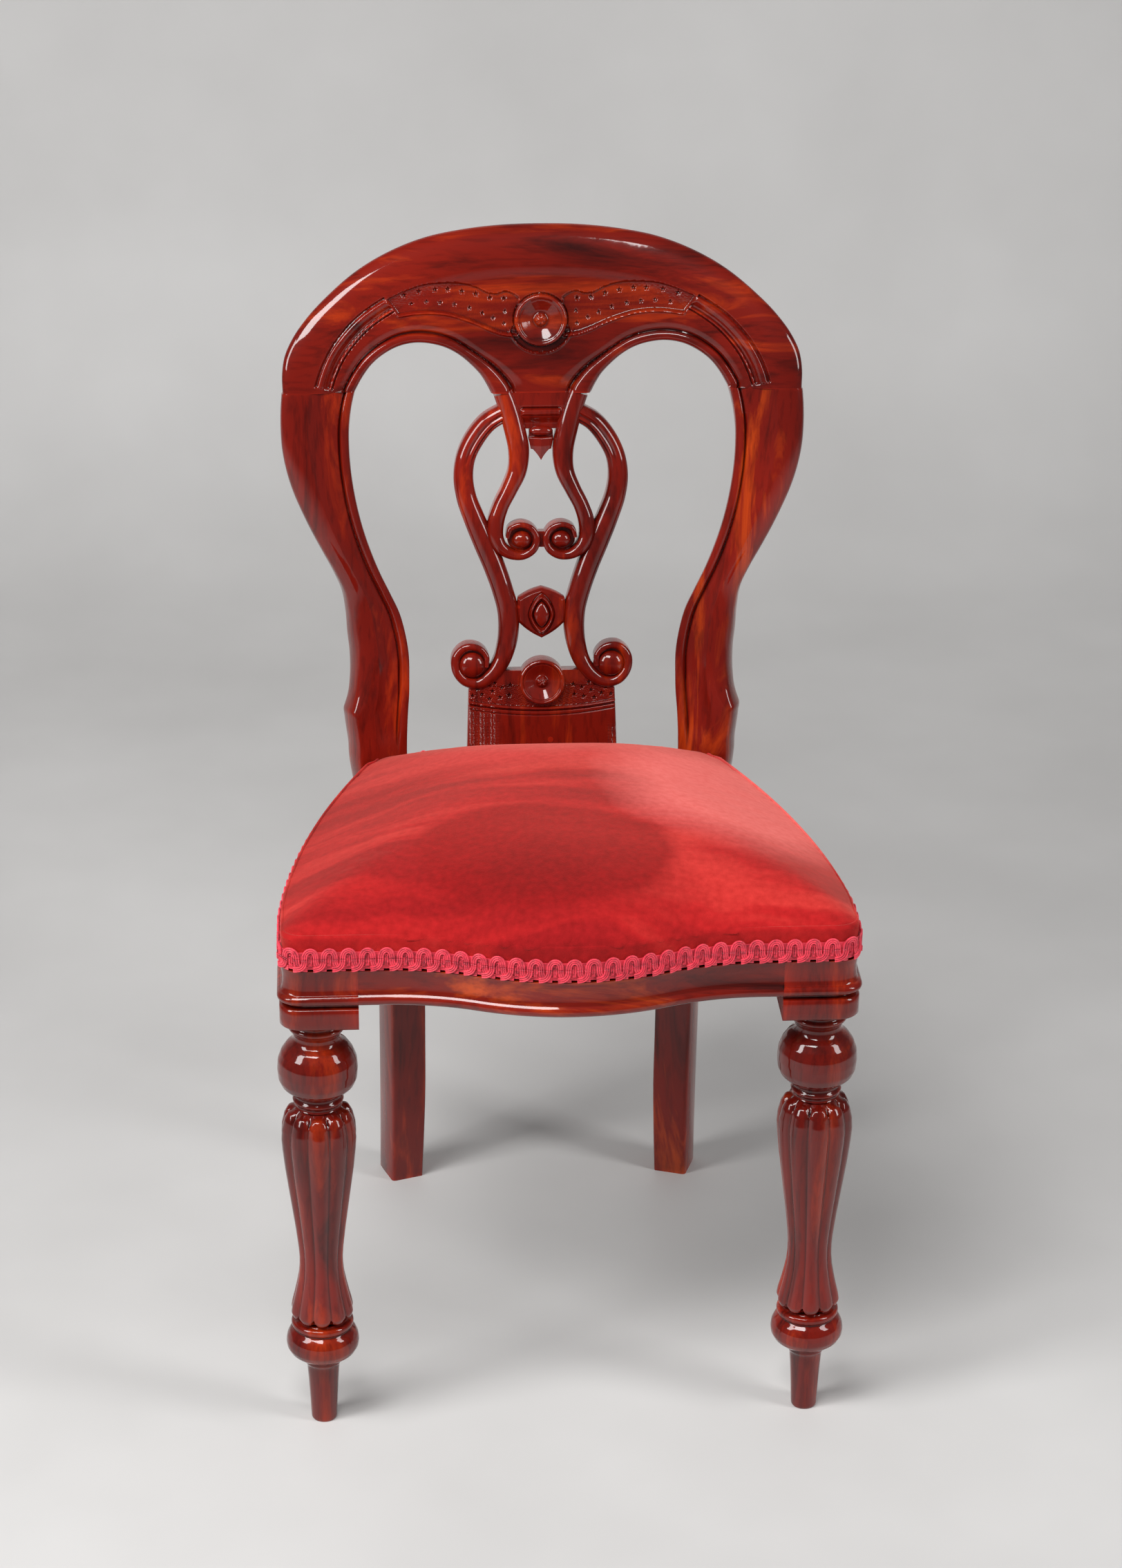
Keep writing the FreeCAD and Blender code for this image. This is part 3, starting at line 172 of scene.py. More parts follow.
def denser(count, low, high, factor):
    """Places from 0 to 1, closer together by the factor between low and high."""
    fine = np.linspace(0, 1, 2001)
    between = smoothstep(low - 0.04, low + 0.04, fine) * smoothstep(high + 0.04, high - 0.04, fine)
    weight = 1 + (factor - 1) * between
    run = np.concatenate([[0.0], np.cumsum((weight[1:] + weight[:-1]) / 2)])
    return np.interp(np.linspace(0, run[-1], count), run, fine)


def skin(points, around=True, along=False, caps=True):
    """Vertices and faces of a grid of points [along, around], closed where asked, its ends capped by fans."""
    rows, columns = points.shape[:2]
    index = np.arange(rows * columns).reshape(rows, columns)
    if around:
        index = np.concatenate([index, index[:, :1]], axis=1)
    if along:
        index = np.concatenate([index, index[:1]], axis=0)
    corners = [index[:-1, :-1], index[:-1, 1:], index[1:, 1:], index[1:, :-1]]
    quads = np.stack(corners, axis=-1).reshape(-1, 4)
    vertices = points.reshape(-1, 3)
    faces = [quads]
    if caps and not along:
        ends = []
        for row, turn in ((0, 1), (rows - 1, -1)):
            centre = len(vertices)
            vertices = np.concatenate([vertices, points[row].mean(axis=0)[None]])
            ring = index[row][::turn]
            fan = np.stack([np.full(len(ring) - 1, centre), ring[1:], ring[:-1]], axis=1)
            ends.append(fan)
        faces += ends
    return vertices, faces


def gather(parts):
    """Several skins as one list of vertices and faces."""
    vertices = []
    faces = []
    start = 0
    for part_vertices, part_faces in parts:
        vertices.append(part_vertices)
        faces += [block + start for block in part_faces]
        start += len(part_vertices)
    return np.concatenate(vertices), faces


def volume(vertices, faces):
    """Signed volume inside the faces: a sum of tetrahedra to the origin."""
    total = 0.0
    for block in faces:
        first = vertices[block[:, 0]]
        for corner in range(1, block.shape[1] - 1):
            edge = np.cross(vertices[block[:, corner]], vertices[block[:, corner + 1]])
            total += float(np.einsum("ij,ij->", first, edge))
    return total


def outward(part):
    """The same skin with its faces turned to the outside."""
    vertices, faces = part
    middle = vertices.mean(axis=0)
    if volume(vertices - middle, faces) < 0:
        faces = [block[:, ::-1] for block in faces]
    return vertices, faces


def piece(name, parts, material, nodes=(), flat=False):
    """A piece of the chair from skins, riding on the frame and standing for the nodes it replaces."""
    vertices, faces = gather([outward(part) for part in parts])
    mesh = bpy.data.meshes.new(name)
    loops = np.concatenate([block.ravel() for block in faces])
    sizes = np.concatenate([np.full(len(block), block.shape[1]) for block in faces])
    starts = np.concatenate([[0], np.cumsum(sizes)[:-1]])
    mesh.vertices.add(len(vertices))
    mesh.vertices.foreach_set("co", vertices.astype(np.float32).ravel())
    mesh.loops.add(len(loops))
    mesh.loops.foreach_set("vertex_index", loops.astype(np.int32))
    mesh.polygons.add(len(sizes))
    mesh.polygons.foreach_set("loop_start", starts.astype(np.int32))
    mesh.polygons.foreach_set("loop_total", sizes.astype(np.int32))
    mesh.polygons.foreach_set("use_smooth", np.full(len(sizes), not flat))
    mesh.update(calc_edges=True)
    mesh.validate()
    if not flat:
        mesh.set_sharp_from_angle(angle=math.radians(50))
    item = bpy.data.objects.new(name, mesh)
    bpy.context.scene.collection.objects.link(item)
    item.data.materials.append(material)
    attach(item, BODY)
    if nodes:
        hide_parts(*nodes)
    return item


def mirrored(part):
    """The same skin on the other side of the chair."""
    vertices, faces = part
    return vertices * np.array([-1.0, 1.0, 1.0]), faces


# Places on the back


def on_back(u, v, depth):
    """Points of the hollow back: across, up the rake, and behind its curved front."""
    y = np.sqrt(PLAN_RADIUS**2 - u**2) - PLAN_RADIUS + depth
    return raked(u, v, y)


def roll_over(gap, wide, deep):
    """Depth of the big outer roll by the distance from its edge: a quarter of an ellipse, wide by deep."""
    return deep * (1 - np.sqrt(np.clip(1 - (1 - np.minimum(gap / wide, 1)) ** 2, 0, 1)))


def edge_bead(gap):
    """Depth beside an opening: a round bead, a V groove behind it and a slope back up to the field."""
    bead = -0.0026 * np.sqrt(np.clip(1 - ((gap - 0.0046) / 0.0043) ** 2, 0, 1))
    groove = 0.0019 * np.exp(-(((gap - 0.0098) / 0.0011) ** 2))
    slope = 0.0015 * (1 - smoothstep(0.0098, 0.0180, gap)) * (gap > 0.0088)
    edge = 0.0016 * np.clip(1 - gap / 0.0014, 0, 1) ** 2
    return bead + groove + slope + edge


def on_splat(u, v, depth):
    """Points of the flat splat board."""
    return raked(u, v, depth)


def raked(x, v, y):
    """The upright back leaned to its rake: y' = y cos + v sin, z' = v cos - y sin."""
    return np.stack(
        [
            x + 0 * v,
            BACK_Y + y * math.cos(RAKE) + v * math.sin(RAKE),
            BACK_Z + v * math.cos(RAKE) - y * math.sin(RAKE),
        ],
        axis=-1,
    )


# Finishes


def material(name):
    """A node material with only its shader and output."""
    finish = bpy.data.materials.new(name)
    finish.use_nodes = True
    tree = finish.node_tree
    tree.nodes.clear()
    output = tree.nodes.new("ShaderNodeOutputMaterial")
    shader = tree.nodes.new("ShaderNodeBsdfPrincipled")
    tree.links.new(shader.outputs["BSDF"], output.inputs["Surface"])
    return finish, tree, shader


def node(tree, kind, links=(), **settings):
    """A node with its settings, its number inputs by name and its links from other sockets."""
    made = tree.nodes.new(kind)
    for key, value in settings.items():
        if hasattr(made, key):
            setattr(made, key, value)
        else:
            made.inputs[key.replace("_", " ")].default_value = value
    for target, source in dict(links).items():
        tree.links.new(source, made.inputs[target])
    return made


def ramp(tree, source, stops):
    """A colour ramp of (place, colour) stops, read from the source."""
    made = tree.nodes.new("ShaderNodeValToRGB")
    tree.links.new(source, made.inputs["Fac"])
    made.color_ramp.elements[0].position, made.color_ramp.elements[0].color = stops[0]
    made.color_ramp.elements[1].position, made.color_ramp.elements[1].color = stops[-1]
    for place, colour in stops[1:-1]:
        made.color_ramp.elements.new(place).color = colour
    return made


def polished_mahogany(name, grain, warmth, settings):
    """Deep red polish under a clear coat: grain, dark streaks, painted shade in hollows, painted highlight on
    edges.

    The tone follows a noise stretched along the grain, multiplied by a broad noise, by fine pores and by the
    surface's own sharpness, which paints shade into the hollows and a highlight onto sharp edges.
    """
    finish, tree, shader = material(name)
    place = tree.nodes.new("ShaderNodeTexCoord").outputs["Object"]
    stretch = {"X": (3.0, 24, 24), "Z": (24, 24, 3.0)}[grain]
    lines = node(tree, "ShaderNodeMapping", {"Vector": place})
    lines.inputs["Scale"].default_value = stretch
    figure = node(tree, "ShaderNodeTexNoise", {"Vector": lines.outputs["Vector"]}, Scale=1.0, Detail=6.0)
    figure.inputs["Roughness"].default_value = 0.62
    figure.inputs["Distortion"].default_value = 0.9
    fine = node(tree, "ShaderNodeMapping", {"Vector": place})
    fine.inputs["Scale"].default_value = tuple(9 * factor for factor in stretch)
    pores = node(tree, "ShaderNodeTexNoise", {"Vector": fine.outputs["Vector"]}, Scale=1.0, Detail=3.0)
    broad = node(tree, "ShaderNodeTexNoise", {"Vector": place}, Scale=4.5, Detail=3.0)
    red = tuple(settings.wood_colour)
    dark = (red[0] * 0.26, red[1] * 0.30, red[2] * 0.45)
    glow = (red[0] * (2.3 + 1.5 * warmth), red[1] * (4.5 + 14 * warmth), red[2] * (1.4 + warmth))
    tone = ramp(
        tree,
        figure.outputs["Fac"],
        [(0.32, (*dark, 1)), (0.46, (*red, 1)), (0.53, (*red, 1)), (0.68, (*glow, 1))],
    )
    shade = ramp(tree, broad.outputs["Fac"], [(0.32, (0.52, 0.46, 0.46, 1)), (0.68, (1.25, 1.3, 1.15, 1))])
    body = node(tree, "ShaderNodeMix", data_type="RGBA", blend_type="MULTIPLY")
    body.inputs[0].default_value = 1.0
    tree.links.new(tone.outputs["Color"], body.inputs[6])
    tree.links.new(shade.outputs["Color"], body.inputs[7])
    pore = ramp(tree, pores.outputs["Fac"], [(0.36, (0.55, 0.50, 0.50, 1)), (0.48, (1, 1, 1, 1))])
    worked = node(tree, "ShaderNodeMix", data_type="RGBA", blend_type="MULTIPLY")
    worked.inputs[0].default_value = 0.5
    tree.links.new(body.outputs[2], worked.inputs[6])
    tree.links.new(pore.outputs["Color"], worked.inputs[7])
    # Painted shade and highlight: the surface's pointiness darkens the colour in hollows and lightens it on
    # sharp edges.
    sharp = tree.nodes.new("ShaderNodeNewGeometry")
    hollow = ramp(
        tree,
        sharp.outputs["Pointiness"],
        [
            (0.44, (0.22, 0.18, 0.18, 1)),
            (0.492, (1, 1, 1, 1)),
            (0.515, (1, 1, 1, 1)),
            (0.58, (1.7, 1.9, 1.6, 1)),
        ],
    )
    painted_shade_and_edge_highlight = node(tree, "ShaderNodeMix", data_type="RGBA", blend_type="MULTIPLY")
    painted_shade_and_edge_highlight.inputs[0].default_value = 1.0
    tree.links.new(worked.outputs[2], painted_shade_and_edge_highlight.inputs[6])
    tree.links.new(hollow.outputs["Color"], painted_shade_and_edge_highlight.inputs[7])
    tree.links.new(painted_shade_and_edge_highlight.outputs[2], shader.inputs["Base Color"])
    rough = ramp(tree, broad.outputs["Fac"], [(0.3, (0.42, 0.42, 0.42, 1)), (0.7, (0.52, 0.52, 0.52, 1))])
    tree.links.new(rough.outputs["Color"], shader.inputs["Roughness"])
    bump = node(tree, "ShaderNodeBump", {"Height": pores.outputs["Fac"]}, Strength=0.12, Distance=0.0006)
    tree.links.new(bump.outputs["Normal"], shader.inputs["Normal"])
    ripple = node(tree, "ShaderNodeTexNoise", {"Vector": place}, Scale=45.0, Detail=3.0)
    coat_bump = node(
        tree, "ShaderNodeBump", {"Height": ripple.outputs["Fac"]}, Strength=0.10, Distance=0.0012
    )
    tree.links.new(coat_bump.outputs["Normal"], shader.inputs["Coat Normal"])
    shader.inputs["Specular IOR Level"].default_value = 0.04
    shader.inputs["Coat Weight"].default_value = settings.polish
    shader.inputs["Coat Roughness"].default_value = 0.06
    shader.inputs["Coat IOR"].default_value = 1.48
    return finish


def plain_wood(name, colour):
    """Unpolished secondary wood, with long soft grain."""
    finish, tree, shader = material(name)
    place = tree.nodes.new("ShaderNodeTexCoord").outputs["Object"]
    lines = node(tree, "ShaderNodeMapping", {"Vector": place})
    lines.inputs["Scale"].default_value = (6, 60, 60)
    grain = node(tree, "ShaderNodeTexNoise", {"Vector": lines.outputs["Vector"]}, Scale=1.0, Detail=5.0)
    dark = tuple(channel * 0.6 for channel in colour)
    tone = ramp(tree, grain.outputs["Fac"], [(0.35, (*dark, 1)), (0.65, (*colour, 1))])
    tree.links.new(tone.outputs["Color"], shader.inputs["Base Color"])
    shader.inputs["Roughness"].default_value = 0.7
    return finish


def woven(name, colour, pitch, sheen=0.2):
    """Plain cloth: threads crossing at a pitch, with slubs."""
    finish, tree, shader = material(name)
    place = tree.nodes.new("ShaderNodeTexCoord").outputs["Object"]
    across = node(tree, "ShaderNodeTexWave", {"Vector": place}, bands_direction="X", Scale=0.31 / pitch)
    along = node(tree, "ShaderNodeTexWave", {"Vector": place}, bands_direction="Y", Scale=0.31 / pitch)
    weave = node(
        tree,
        "ShaderNodeMath",
        {0: across.outputs["Fac"], 1: along.outputs["Fac"]},
        operation="MULTIPLY",
    )
    slub = node(tree, "ShaderNodeTexNoise", {"Vector": place}, Scale=40.0, Detail=3.0)
    dark = tuple(channel * 0.45 for channel in colour)
    tone = ramp(tree, weave.outputs[0], [(0.0, (*dark, 1)), (0.6, (*colour, 1))])
    mix = node(tree, "ShaderNodeMix", data_type="RGBA", blend_type="MULTIPLY")
    mix.inputs[0].default_value = 0.5
    tree.links.new(tone.outputs["Color"], mix.inputs[6])
    tree.links.new(slub.outputs["Fac"], mix.inputs[7])
    tree.links.new(mix.outputs[2], shader.inputs["Base Color"])
    bump = node(tree, "ShaderNodeBump", {"Height": weave.outputs[0]}, Strength=0.5, Distance=pitch * 0.3)
    tree.links.new(bump.outputs["Normal"], shader.inputs["Normal"])
    shader.inputs["Roughness"].default_value = 0.85
    shader.inputs["Sheen Weight"].default_value = sheen
    return finish


def velvet(name, settings):
    """Crimson pile: dark where the nap stands, paler where it lies, painted shade on the front, soft sheen,
    fine tooth.

    The patches are round gradients whose edges a noise wavers: three follow the nap, and the last is painted
    shade along the steep front. Stretched noise draws the brush strokes.
    """
    finish, tree, shader = material(name)
    place = tree.nodes.new("ShaderNodeTexCoord").outputs["Object"]
    waver = node(tree, "ShaderNodeTexNoise", {"Vector": place}, Scale=7.0, Detail=3.0)
    moved = node(tree, "ShaderNodeVectorMath", operation="MULTIPLY_ADD")
    tree.links.new(waver.outputs["Color"], moved.inputs[0])
    moved.inputs[1].default_value = (0.075, 0.075, 0.0)
    tree.links.new(place, moved.inputs[2])

    def patch(middle, reach, edge):
        """A round patch: 0 at its reach from the middle, up to 1 at the share edge of the way in."""
        centred = node(tree, "ShaderNodeMapping", {"Vector": moved.outputs["Vector"]}, vector_type="TEXTURE")
        centred.inputs["Location"].default_value = (middle[0] + 0.0375, middle[1] + 0.0375, 0.50)
        centred.inputs["Scale"].default_value = (*reach, 0.5)
        ball = node(
            tree, "ShaderNodeTexGradient", {"Vector": centred.outputs["Vector"]}, gradient_type="SPHERICAL"
        )
        return ramp(tree, ball.outputs["Fac"], [(0.0, (0, 0, 0, 1)), (edge, (1, 1, 1, 1))]).outputs["Color"]

    strokes = node(tree, "ShaderNodeMapping", {"Vector": moved.outputs["Vector"]})
    strokes.inputs["Rotation"].default_value = (0, 0, math.radians(35))
    strokes.inputs["Scale"].default_value = (4.0, 26.0, 8.0)
    brushed = node(tree, "ShaderNodeTexNoise", {"Vector": strokes.outputs["Vector"]}, Scale=1.0, Detail=4.0)
    tooth = node(tree, "ShaderNodeTexNoise", {"Vector": place}, Scale=900.0, Detail=2.0)
    mottle = node(tree, "ShaderNodeTexNoise", {"Vector": place}, Scale=160.0, Detail=4.0)
    deep = tuple(settings.velvet_colour)
    rich = (deep[0] * 0.70, deep[1] * 0.6, deep[2] * 0.7, 1)
    pale = (deep[0] * 1.25, deep[1] * 2.6, deep[2] * 2.0, 1)
    tone = ramp(tree, brushed.outputs["Fac"], [(0.38, rich), (0.51, (*deep, 1)), (0.64, pale)])
    colour = tone.outputs["Color"]
    for middle, reach, edge, target in (
        ((-0.010, 0.085), (0.230, 0.085), 0.70, (deep[0] * 1.45, deep[1] * 4.6, deep[2] * 3.8, 1)),
        ((0.160, 0.000), (0.130, 0.180), 0.45, (deep[0] * 2.15, deep[1] * 17.0, deep[2] * 14.0, 1)),
        ((-0.020, -0.178), (0.122, 0.092), 0.13, (deep[0] * 0.66, deep[1] * 0.40, deep[2] * 0.46, 1)),
        # Painted shade: this patch darkens the steep front of the seat, where less light falls.
        ((-0.030, -0.225), (0.150, 0.070), 0.80, (deep[0] * 0.50, deep[1] * 0.30, deep[2] * 0.36, 1)),
    ):
        nap_and_painted_shade = node(tree, "ShaderNodeMix", data_type="RGBA", blend_type="MIX")
        share = node(tree, "ShaderNodeMath", {0: patch(middle, reach, edge)}, operation="MULTIPLY")
        share.inputs[1].default_value = 0.85
        tree.links.new(share.outputs[0], nap_and_painted_shade.inputs[0])
        tree.links.new(colour, nap_and_painted_shade.inputs[6])
        nap_and_painted_shade.inputs[7].default_value = target
        colour = nap_and_painted_shade.outputs[2]
    mix = node(tree, "ShaderNodeMix", data_type="RGBA", blend_type="SOFT_LIGHT")
    mix.inputs[0].default_value = 0.55
    tree.links.new(colour, mix.inputs[6])
    tree.links.new(mottle.outputs["Fac"], mix.inputs[7])
    tree.links.new(mix.outputs[2], shader.inputs["Base Color"])
    bump = node(tree, "ShaderNodeBump", {"Height": tooth.outputs["Fac"]}, Strength=0.35, Distance=0.0008)
    tree.links.new(bump.outputs["Normal"], shader.inputs["Normal"])
    shader.inputs["Roughness"].default_value = 0.85
    shader.inputs["Specular IOR Level"].default_value = 0.1
    shader.inputs["Sheen Weight"].default_value = 0.45
    shader.inputs["Sheen Roughness"].default_value = 0.45
    shader.inputs["Sheen Tint"].default_value = (1.0, 0.30, 0.24, 1)
    return finish


def braid_yarn(name, colour):
    """Silky yarn: fine twisted strands, its tone darker and paler at random, with a soft shine."""
    finish, tree, shader = material(name)
    place = tree.nodes.new("ShaderNodeTexCoord").outputs["Object"]
    strands = node(
        tree, "ShaderNodeTexWave", {"Vector": place}, bands_direction="DIAGONAL", Scale=420.0, Distortion=2.0
    )
    noise = node(tree, "ShaderNodeTexNoise", {"Vector": place}, Scale=220.0, Detail=3.0)
    dark = (colour[0] * 0.50, colour[1] * 0.3, colour[2] * 0.4)
    tone = ramp(tree, noise.outputs["Fac"], [(0.3, (*dark, 1)), (0.58, (*colour, 1))])
    tree.links.new(tone.outputs["Color"], shader.inputs["Base Color"])
    bump = node(tree, "ShaderNodeBump", {"Height": strands.outputs["Fac"]}, Strength=0.3, Distance=0.0003)
    tree.links.new(bump.outputs["Normal"], shader.inputs["Normal"])
    shader.inputs["Roughness"].default_value = 0.5
    shader.inputs["Sheen Weight"].default_value = 0.35
    shader.inputs["Sheen Tint"].default_value = (1.0, 0.5, 0.6, 1)
    return finish


def steel(name):
    """Dull bare steel with a fine mottle."""
    finish, tree, shader = material(name)
    place = tree.nodes.new("ShaderNodeTexCoord").outputs["Object"]
    noise = node(tree, "ShaderNodeTexNoise", {"Vector": place}, Scale=300.0, Detail=2.0)
    tone = ramp(tree, noise.outputs["Fac"], [(0.3, (0.30, 0.29, 0.28, 1)), (0.7, (0.5, 0.49, 0.47, 1))])
    tree.links.new(tone.outputs["Color"], shader.inputs["Base Color"])
    shader.inputs["Metallic"].default_value = 1.0
    shader.inputs["Roughness"].default_value = 0.35
    return finish


FINISHES = {}


def finishes(settings):
    """Every finish of the chair, made once."""
    if not FINISHES:
        FINISHES.update(
            {
                "upright": polished_mahogany("mahogany_upright", "Z", 0.0, settings),
                "warm": polished_mahogany("mahogany_warm", "Z", 0.25, settings),
                "across": polished_mahogany("mahogany_across", "X", 0.05, settings),
                "amber": polished_mahogany("mahogany_amber", "X", 0.25, settings),
                "bare": plain_wood("bare_wood", (0.50, 0.33, 0.18)),
                "velvet": velvet("crimson_velvet", settings),
                "yarn": braid_yarn("braid_yarn", tuple(settings.braid_colour)),
                "web": woven("jute_webbing", (0.50, 0.40, 0.25), 0.0016),
                "hessian": woven("hessian", (0.52, 0.40, 0.22), 0.0014),
                "black": woven("black_cotton", (0.02, 0.02, 0.02), 0.0007),
                "steel": steel("screw_steel"),
            }
        )
    return FINISHES


def finish_node(name, finish):
    """A frame node that stays, with its own finish in every material slot."""
    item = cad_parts[name]
    for holder in item.material_slots:
        holder.material = finish
    if not item.material_slots:
        item.data.materials.append(finish)


# Front legs

FOOT_LINE = [
    # Height, radius: foot, ring, bun and collar below the reeds, in millimetres
    (0.0, 10.6), (1.2, 11.5), (20, 12.3), (42, 13.5), (56, 14.5), (59, 15.2), (60.2, 16.6), (61.8, 17.2),
    (63.4, 16.6), (64.2, 16.4), (66, 20.0), (69, 25.2), (73, 29.6), (78, 32.1), (83, 32.5), (88, 31.6),
    (93, 29.2), (96.0, 26.2), (96.8, 25.2), (97.6, 25.6), (99.5, 27.6), (102.5, 27.8), (104.5, 26.6),
    (105.2, 23.2), (106.4, 22.2),
]
VASE_LINE = [
    (106.4, 22.2), (108.5, 26.2), (114, 28.4), (120, 27.4), (130, 24.9), (140, 22.7), (150, 20.8),
    (160, 19.9),
    (170, 19.8), (180, 20.5), (200, 22.8), (220, 25.5), (240, 28.2), (260, 30.9), (280, 33.0), (290, 33.7),
    (300, 33.1), (310, 30.7), (316, 27.4), (320.5, 21.6),
]
NECK_LINE = [
    (320.5, 21.6), (321.6, 20.2), (324.0, 20.0), (325.2, 21.4), (327.0, 22.6), (328.8, 21.4), (330.0, 20.0),
    (332.6, 20.3), (334.0, 21.8), (335.8, 22.0), (336.4, 23.4), (338.5, 28.2), (342, 31.6), (348, 34.1),
    (357, 34.9), (366, 34.2), (374, 31.2), (380, 27.0), (384, 22.2), (385.2, 21.4), (386.6, 20.6),
    (389.5, 20.2), (393, 21.4), (395.6, 23.6), (397.6, 25.0), (399.6, 25.0), (401.0, 23.0), (402.4, 22.4),
    (404.4, 23.4), (406.4, 25.8), (408.4, 28.2), (411.6, 28.4),
]
REEDS = 10


def turned_leg():
    """The turned leg: radius = line(height) - depth * (1 - |sin(5 angle)|^0.62), depth on the vase only."""
    line = np.array(FOOT_LINE + VASE_LINE[1:] + NECK_LINE[1:]) / 1000
    run = np.concatenate([[0.0], np.cumsum(np.hypot(*np.diff(line, axis=0).T))])
    steps = np.linspace(0, run[-1], 430)
    height = np.interp(steps, run, line[:, 0])
    radius = np.interp(steps, run, line[:, 1])
    kernel = np.array([1.0, 2.0, 1.0]) / 4
    radius[1:-1] = np.convolve(radius, kernel, "valid")
    angle = np.linspace(0, 2 * math.pi, 200, endpoint=False) + 0.14
    height, angle = np.meshgrid(height, angle, indexing="ij")
    radius = np.repeat(radius[:, None], angle.shape[1], axis=1)
    lobe = np.abs(np.sin(REEDS / 2 * angle)) ** 0.62
    start = 0.1072 + 0.0085 * (1 - lobe) ** 1.5
    stop = 0.3195 - 0.0100 * (1 - lobe) ** 1.5
    on_vase = smoothstep(start - 0.002, start + 0.003, height) * (1 - smoothstep(stop - 0.004, stop, height))
    in_vase = (height > 0.1064) & (height < 0.3205)
    depth = 0.0040 * radius / 0.0337 * (0.75 + 0.25 * on_vase)
    radius = radius - np.where(in_vase, depth * (1 - lobe), 0)
    end = smoothstep(0.0, 1.0, on_vase)
    radius = np.where(in_vase, radius - (1 - end) * 0.0028, radius)
    points = np.stack([radius * np.cos(angle), radius * np.sin(angle), height], axis=-1)
    return skin(points)


BLOCK_LINE = [
    # Height, how far out of the block's face: collar, groove, bead, hollow frieze and rebate for the cover
    (411.2, -1.8), (411.6, -0.9), (413.0, 0.0), (429.2, 0.0), (430.6, -0.8), (431.2, -2.2), (431.6, -4.6),
    (434.6, -4.6), (434.9, -1.2), (435.8, 0.2), (437.6, 1.4), (439.6, 1.8), (441.6, 1.3), (443.2, 0.0),
    (444.0, -1.4), (444.6, -1.8), (447.5, -2.6), (453, -3.1), (459, -2.9), (464, -2.2), (467, -1.8),
    (467.2, -5.4), (486.0, -5.4),
]


def leg_block():
    """The square block: at each height a square, rounded at its outer front corner, moved out by the line."""
    line = np.array(BLOCK_LINE) / 1000
    steps = [np.linspace(low, high, 3, endpoint=False) for low, high in zip(line[:-1, 0], line[1:, 0])]
    height = np.concatenate(steps)
    reach = np.interp(height, line[:, 0], line[:, 1])
    corner = SEAT_CORNER
    turn = np.linspace(0, math.pi / 2, 14)
    rows = []
    for z, out in zip(height, reach):
        front = -0.038 - out
        side = 0.0315 + out
        bend_x = side - corner + corner * np.sin(turn)
        bend_y = front + corner - corner * np.cos(turn)
        flat = np.linspace(BLOCK_INNER, side - corner, 6)[:-1]
        x = np.concatenate([flat, bend_x, [side, side, BLOCK_INNER, BLOCK_INNER]])
        y = np.concatenate([np.full(5, front), bend_y, [0.0, 0.028, 0.028, 0.0]])
        rows.append(np.stack([x, y, np.full(len(x), z)], axis=-1))
    return skin(np.array(rows))


# Seat rails


def bow_at(x):
    """How far the front rail stands forward: two equal arcs that meet halfway."""
    radius = (BOW_HALF / 2) ** 2 / BOW + BOW / 4
    x = np.abs(x)
    near = radius - np.sqrt(np.maximum(radius**2 - np.clip(BOW_HALF - x, 0, BOW_HALF) ** 2, 0))
    middle = BOW - radius + np.sqrt(np.maximum(radius**2 - x**2, 0))
    return np.where(x >= BOW_HALF, 0.0, np.where(x >= BOW_HALF / 2, near, middle))


def side_at(along, inset=0.0, rear=0.170, bulge=0.0145):
    """How far out the seat's side lies: a straight run to the rear, plus 4 * bulge * s * (1 - s)."""
    share = along / SEAT_RUN
    swell = np.where(along > 0, 4 * bulge * share * (1 - share), 0)
    return HALF_WIDTH + (rear - HALF_WIDTH) * np.maximum(share, 0) + swell - inset


def frame_side_at(along, inset=0.0):
    """The straighter side that the webbing and the sheets are cut to."""
    return side_at(along, inset, 0.176, 0.007)


RAIL_LINE = [
    # Height and how far out of the rail's face, round the section
    (434.5, -25.0), (434.5, -2.6), (434.9, -0.9), (436.2, 0.5), (438.0, 1.3), (439.8, 1.6), (441.6, 1.2),
    (443.2, 0.1), (444.2, -1.2), (444.8, -1.6), (448.0, -2.4), (454.0, -2.9), (460.0, -2.6), (465.0, -1.6),
    (467.0, -1.2), (467.2, -5.4), (486.0, -5.4), (486.0, -25.0),
]


def moulded_rail(path, drop):
    """The rail's section carried along a path in plan, out along the path's own side and let down by drop."""
    line = np.array(RAIL_LINE) / 1000
    forward = np.gradient(path, axis=0)
    forward /= np.linalg.norm(forward, axis=1)[:, None]
    side = np.stack([forward[:, 1], -forward[:, 0]], axis=1)
    x = path[:, None, 0] + side[:, None, 0] * line[None, :, 1]
    y = path[:, None, 1] + side[:, None, 1] * line[None, :, 1]
    z = line[None, :, 0] - drop[:, None] + 0 * x
    return skin(np.stack([x, y, z], axis=-1))


# Back posts

POST_LINE = [
    # Up the rake, inner edge, outer edge, width and depth of the roll on the outer side
    (0, 128.5, 175.0, 5, 4), (12, 128.4, 175.4, 5, 4), (25, 128.2, 177.0, 6, 4.5), (38, 127.6, 178.6, 7, 5),
    (47, 127.0, 179.3, 9, 6), (52, 126.6, 177.6, 11, 7), (60, 126.0, 175.2, 13, 8), (75, 125.6, 173.2, 15, 9),
    (100, 126.0, 173.0, 18, 10), (120, 129.0, 175.0, 21, 11), (140, 134.2, 177.5, 24, 12),
    (160, 143.0, 181.8, 26, 13), (180, 152.2, 191.0, 28, 14), (200, 160.0, 202.0, 30, 14.5),
    (220, 166.5, 212.3, 32, 15), (240, 171.6, 221.6, 34, 15.5), (260, 175.4, 229.8, 36, 16),
    (280, 178.0, 235.8, 37, 16), (300, 179.2, 239.6, 38, 16), (320, 179.0, 241.4, 38, 16),
    (340, 176.4, 241.6, 38, 16), (352, 173.6, 241.0, 38, 16),
]
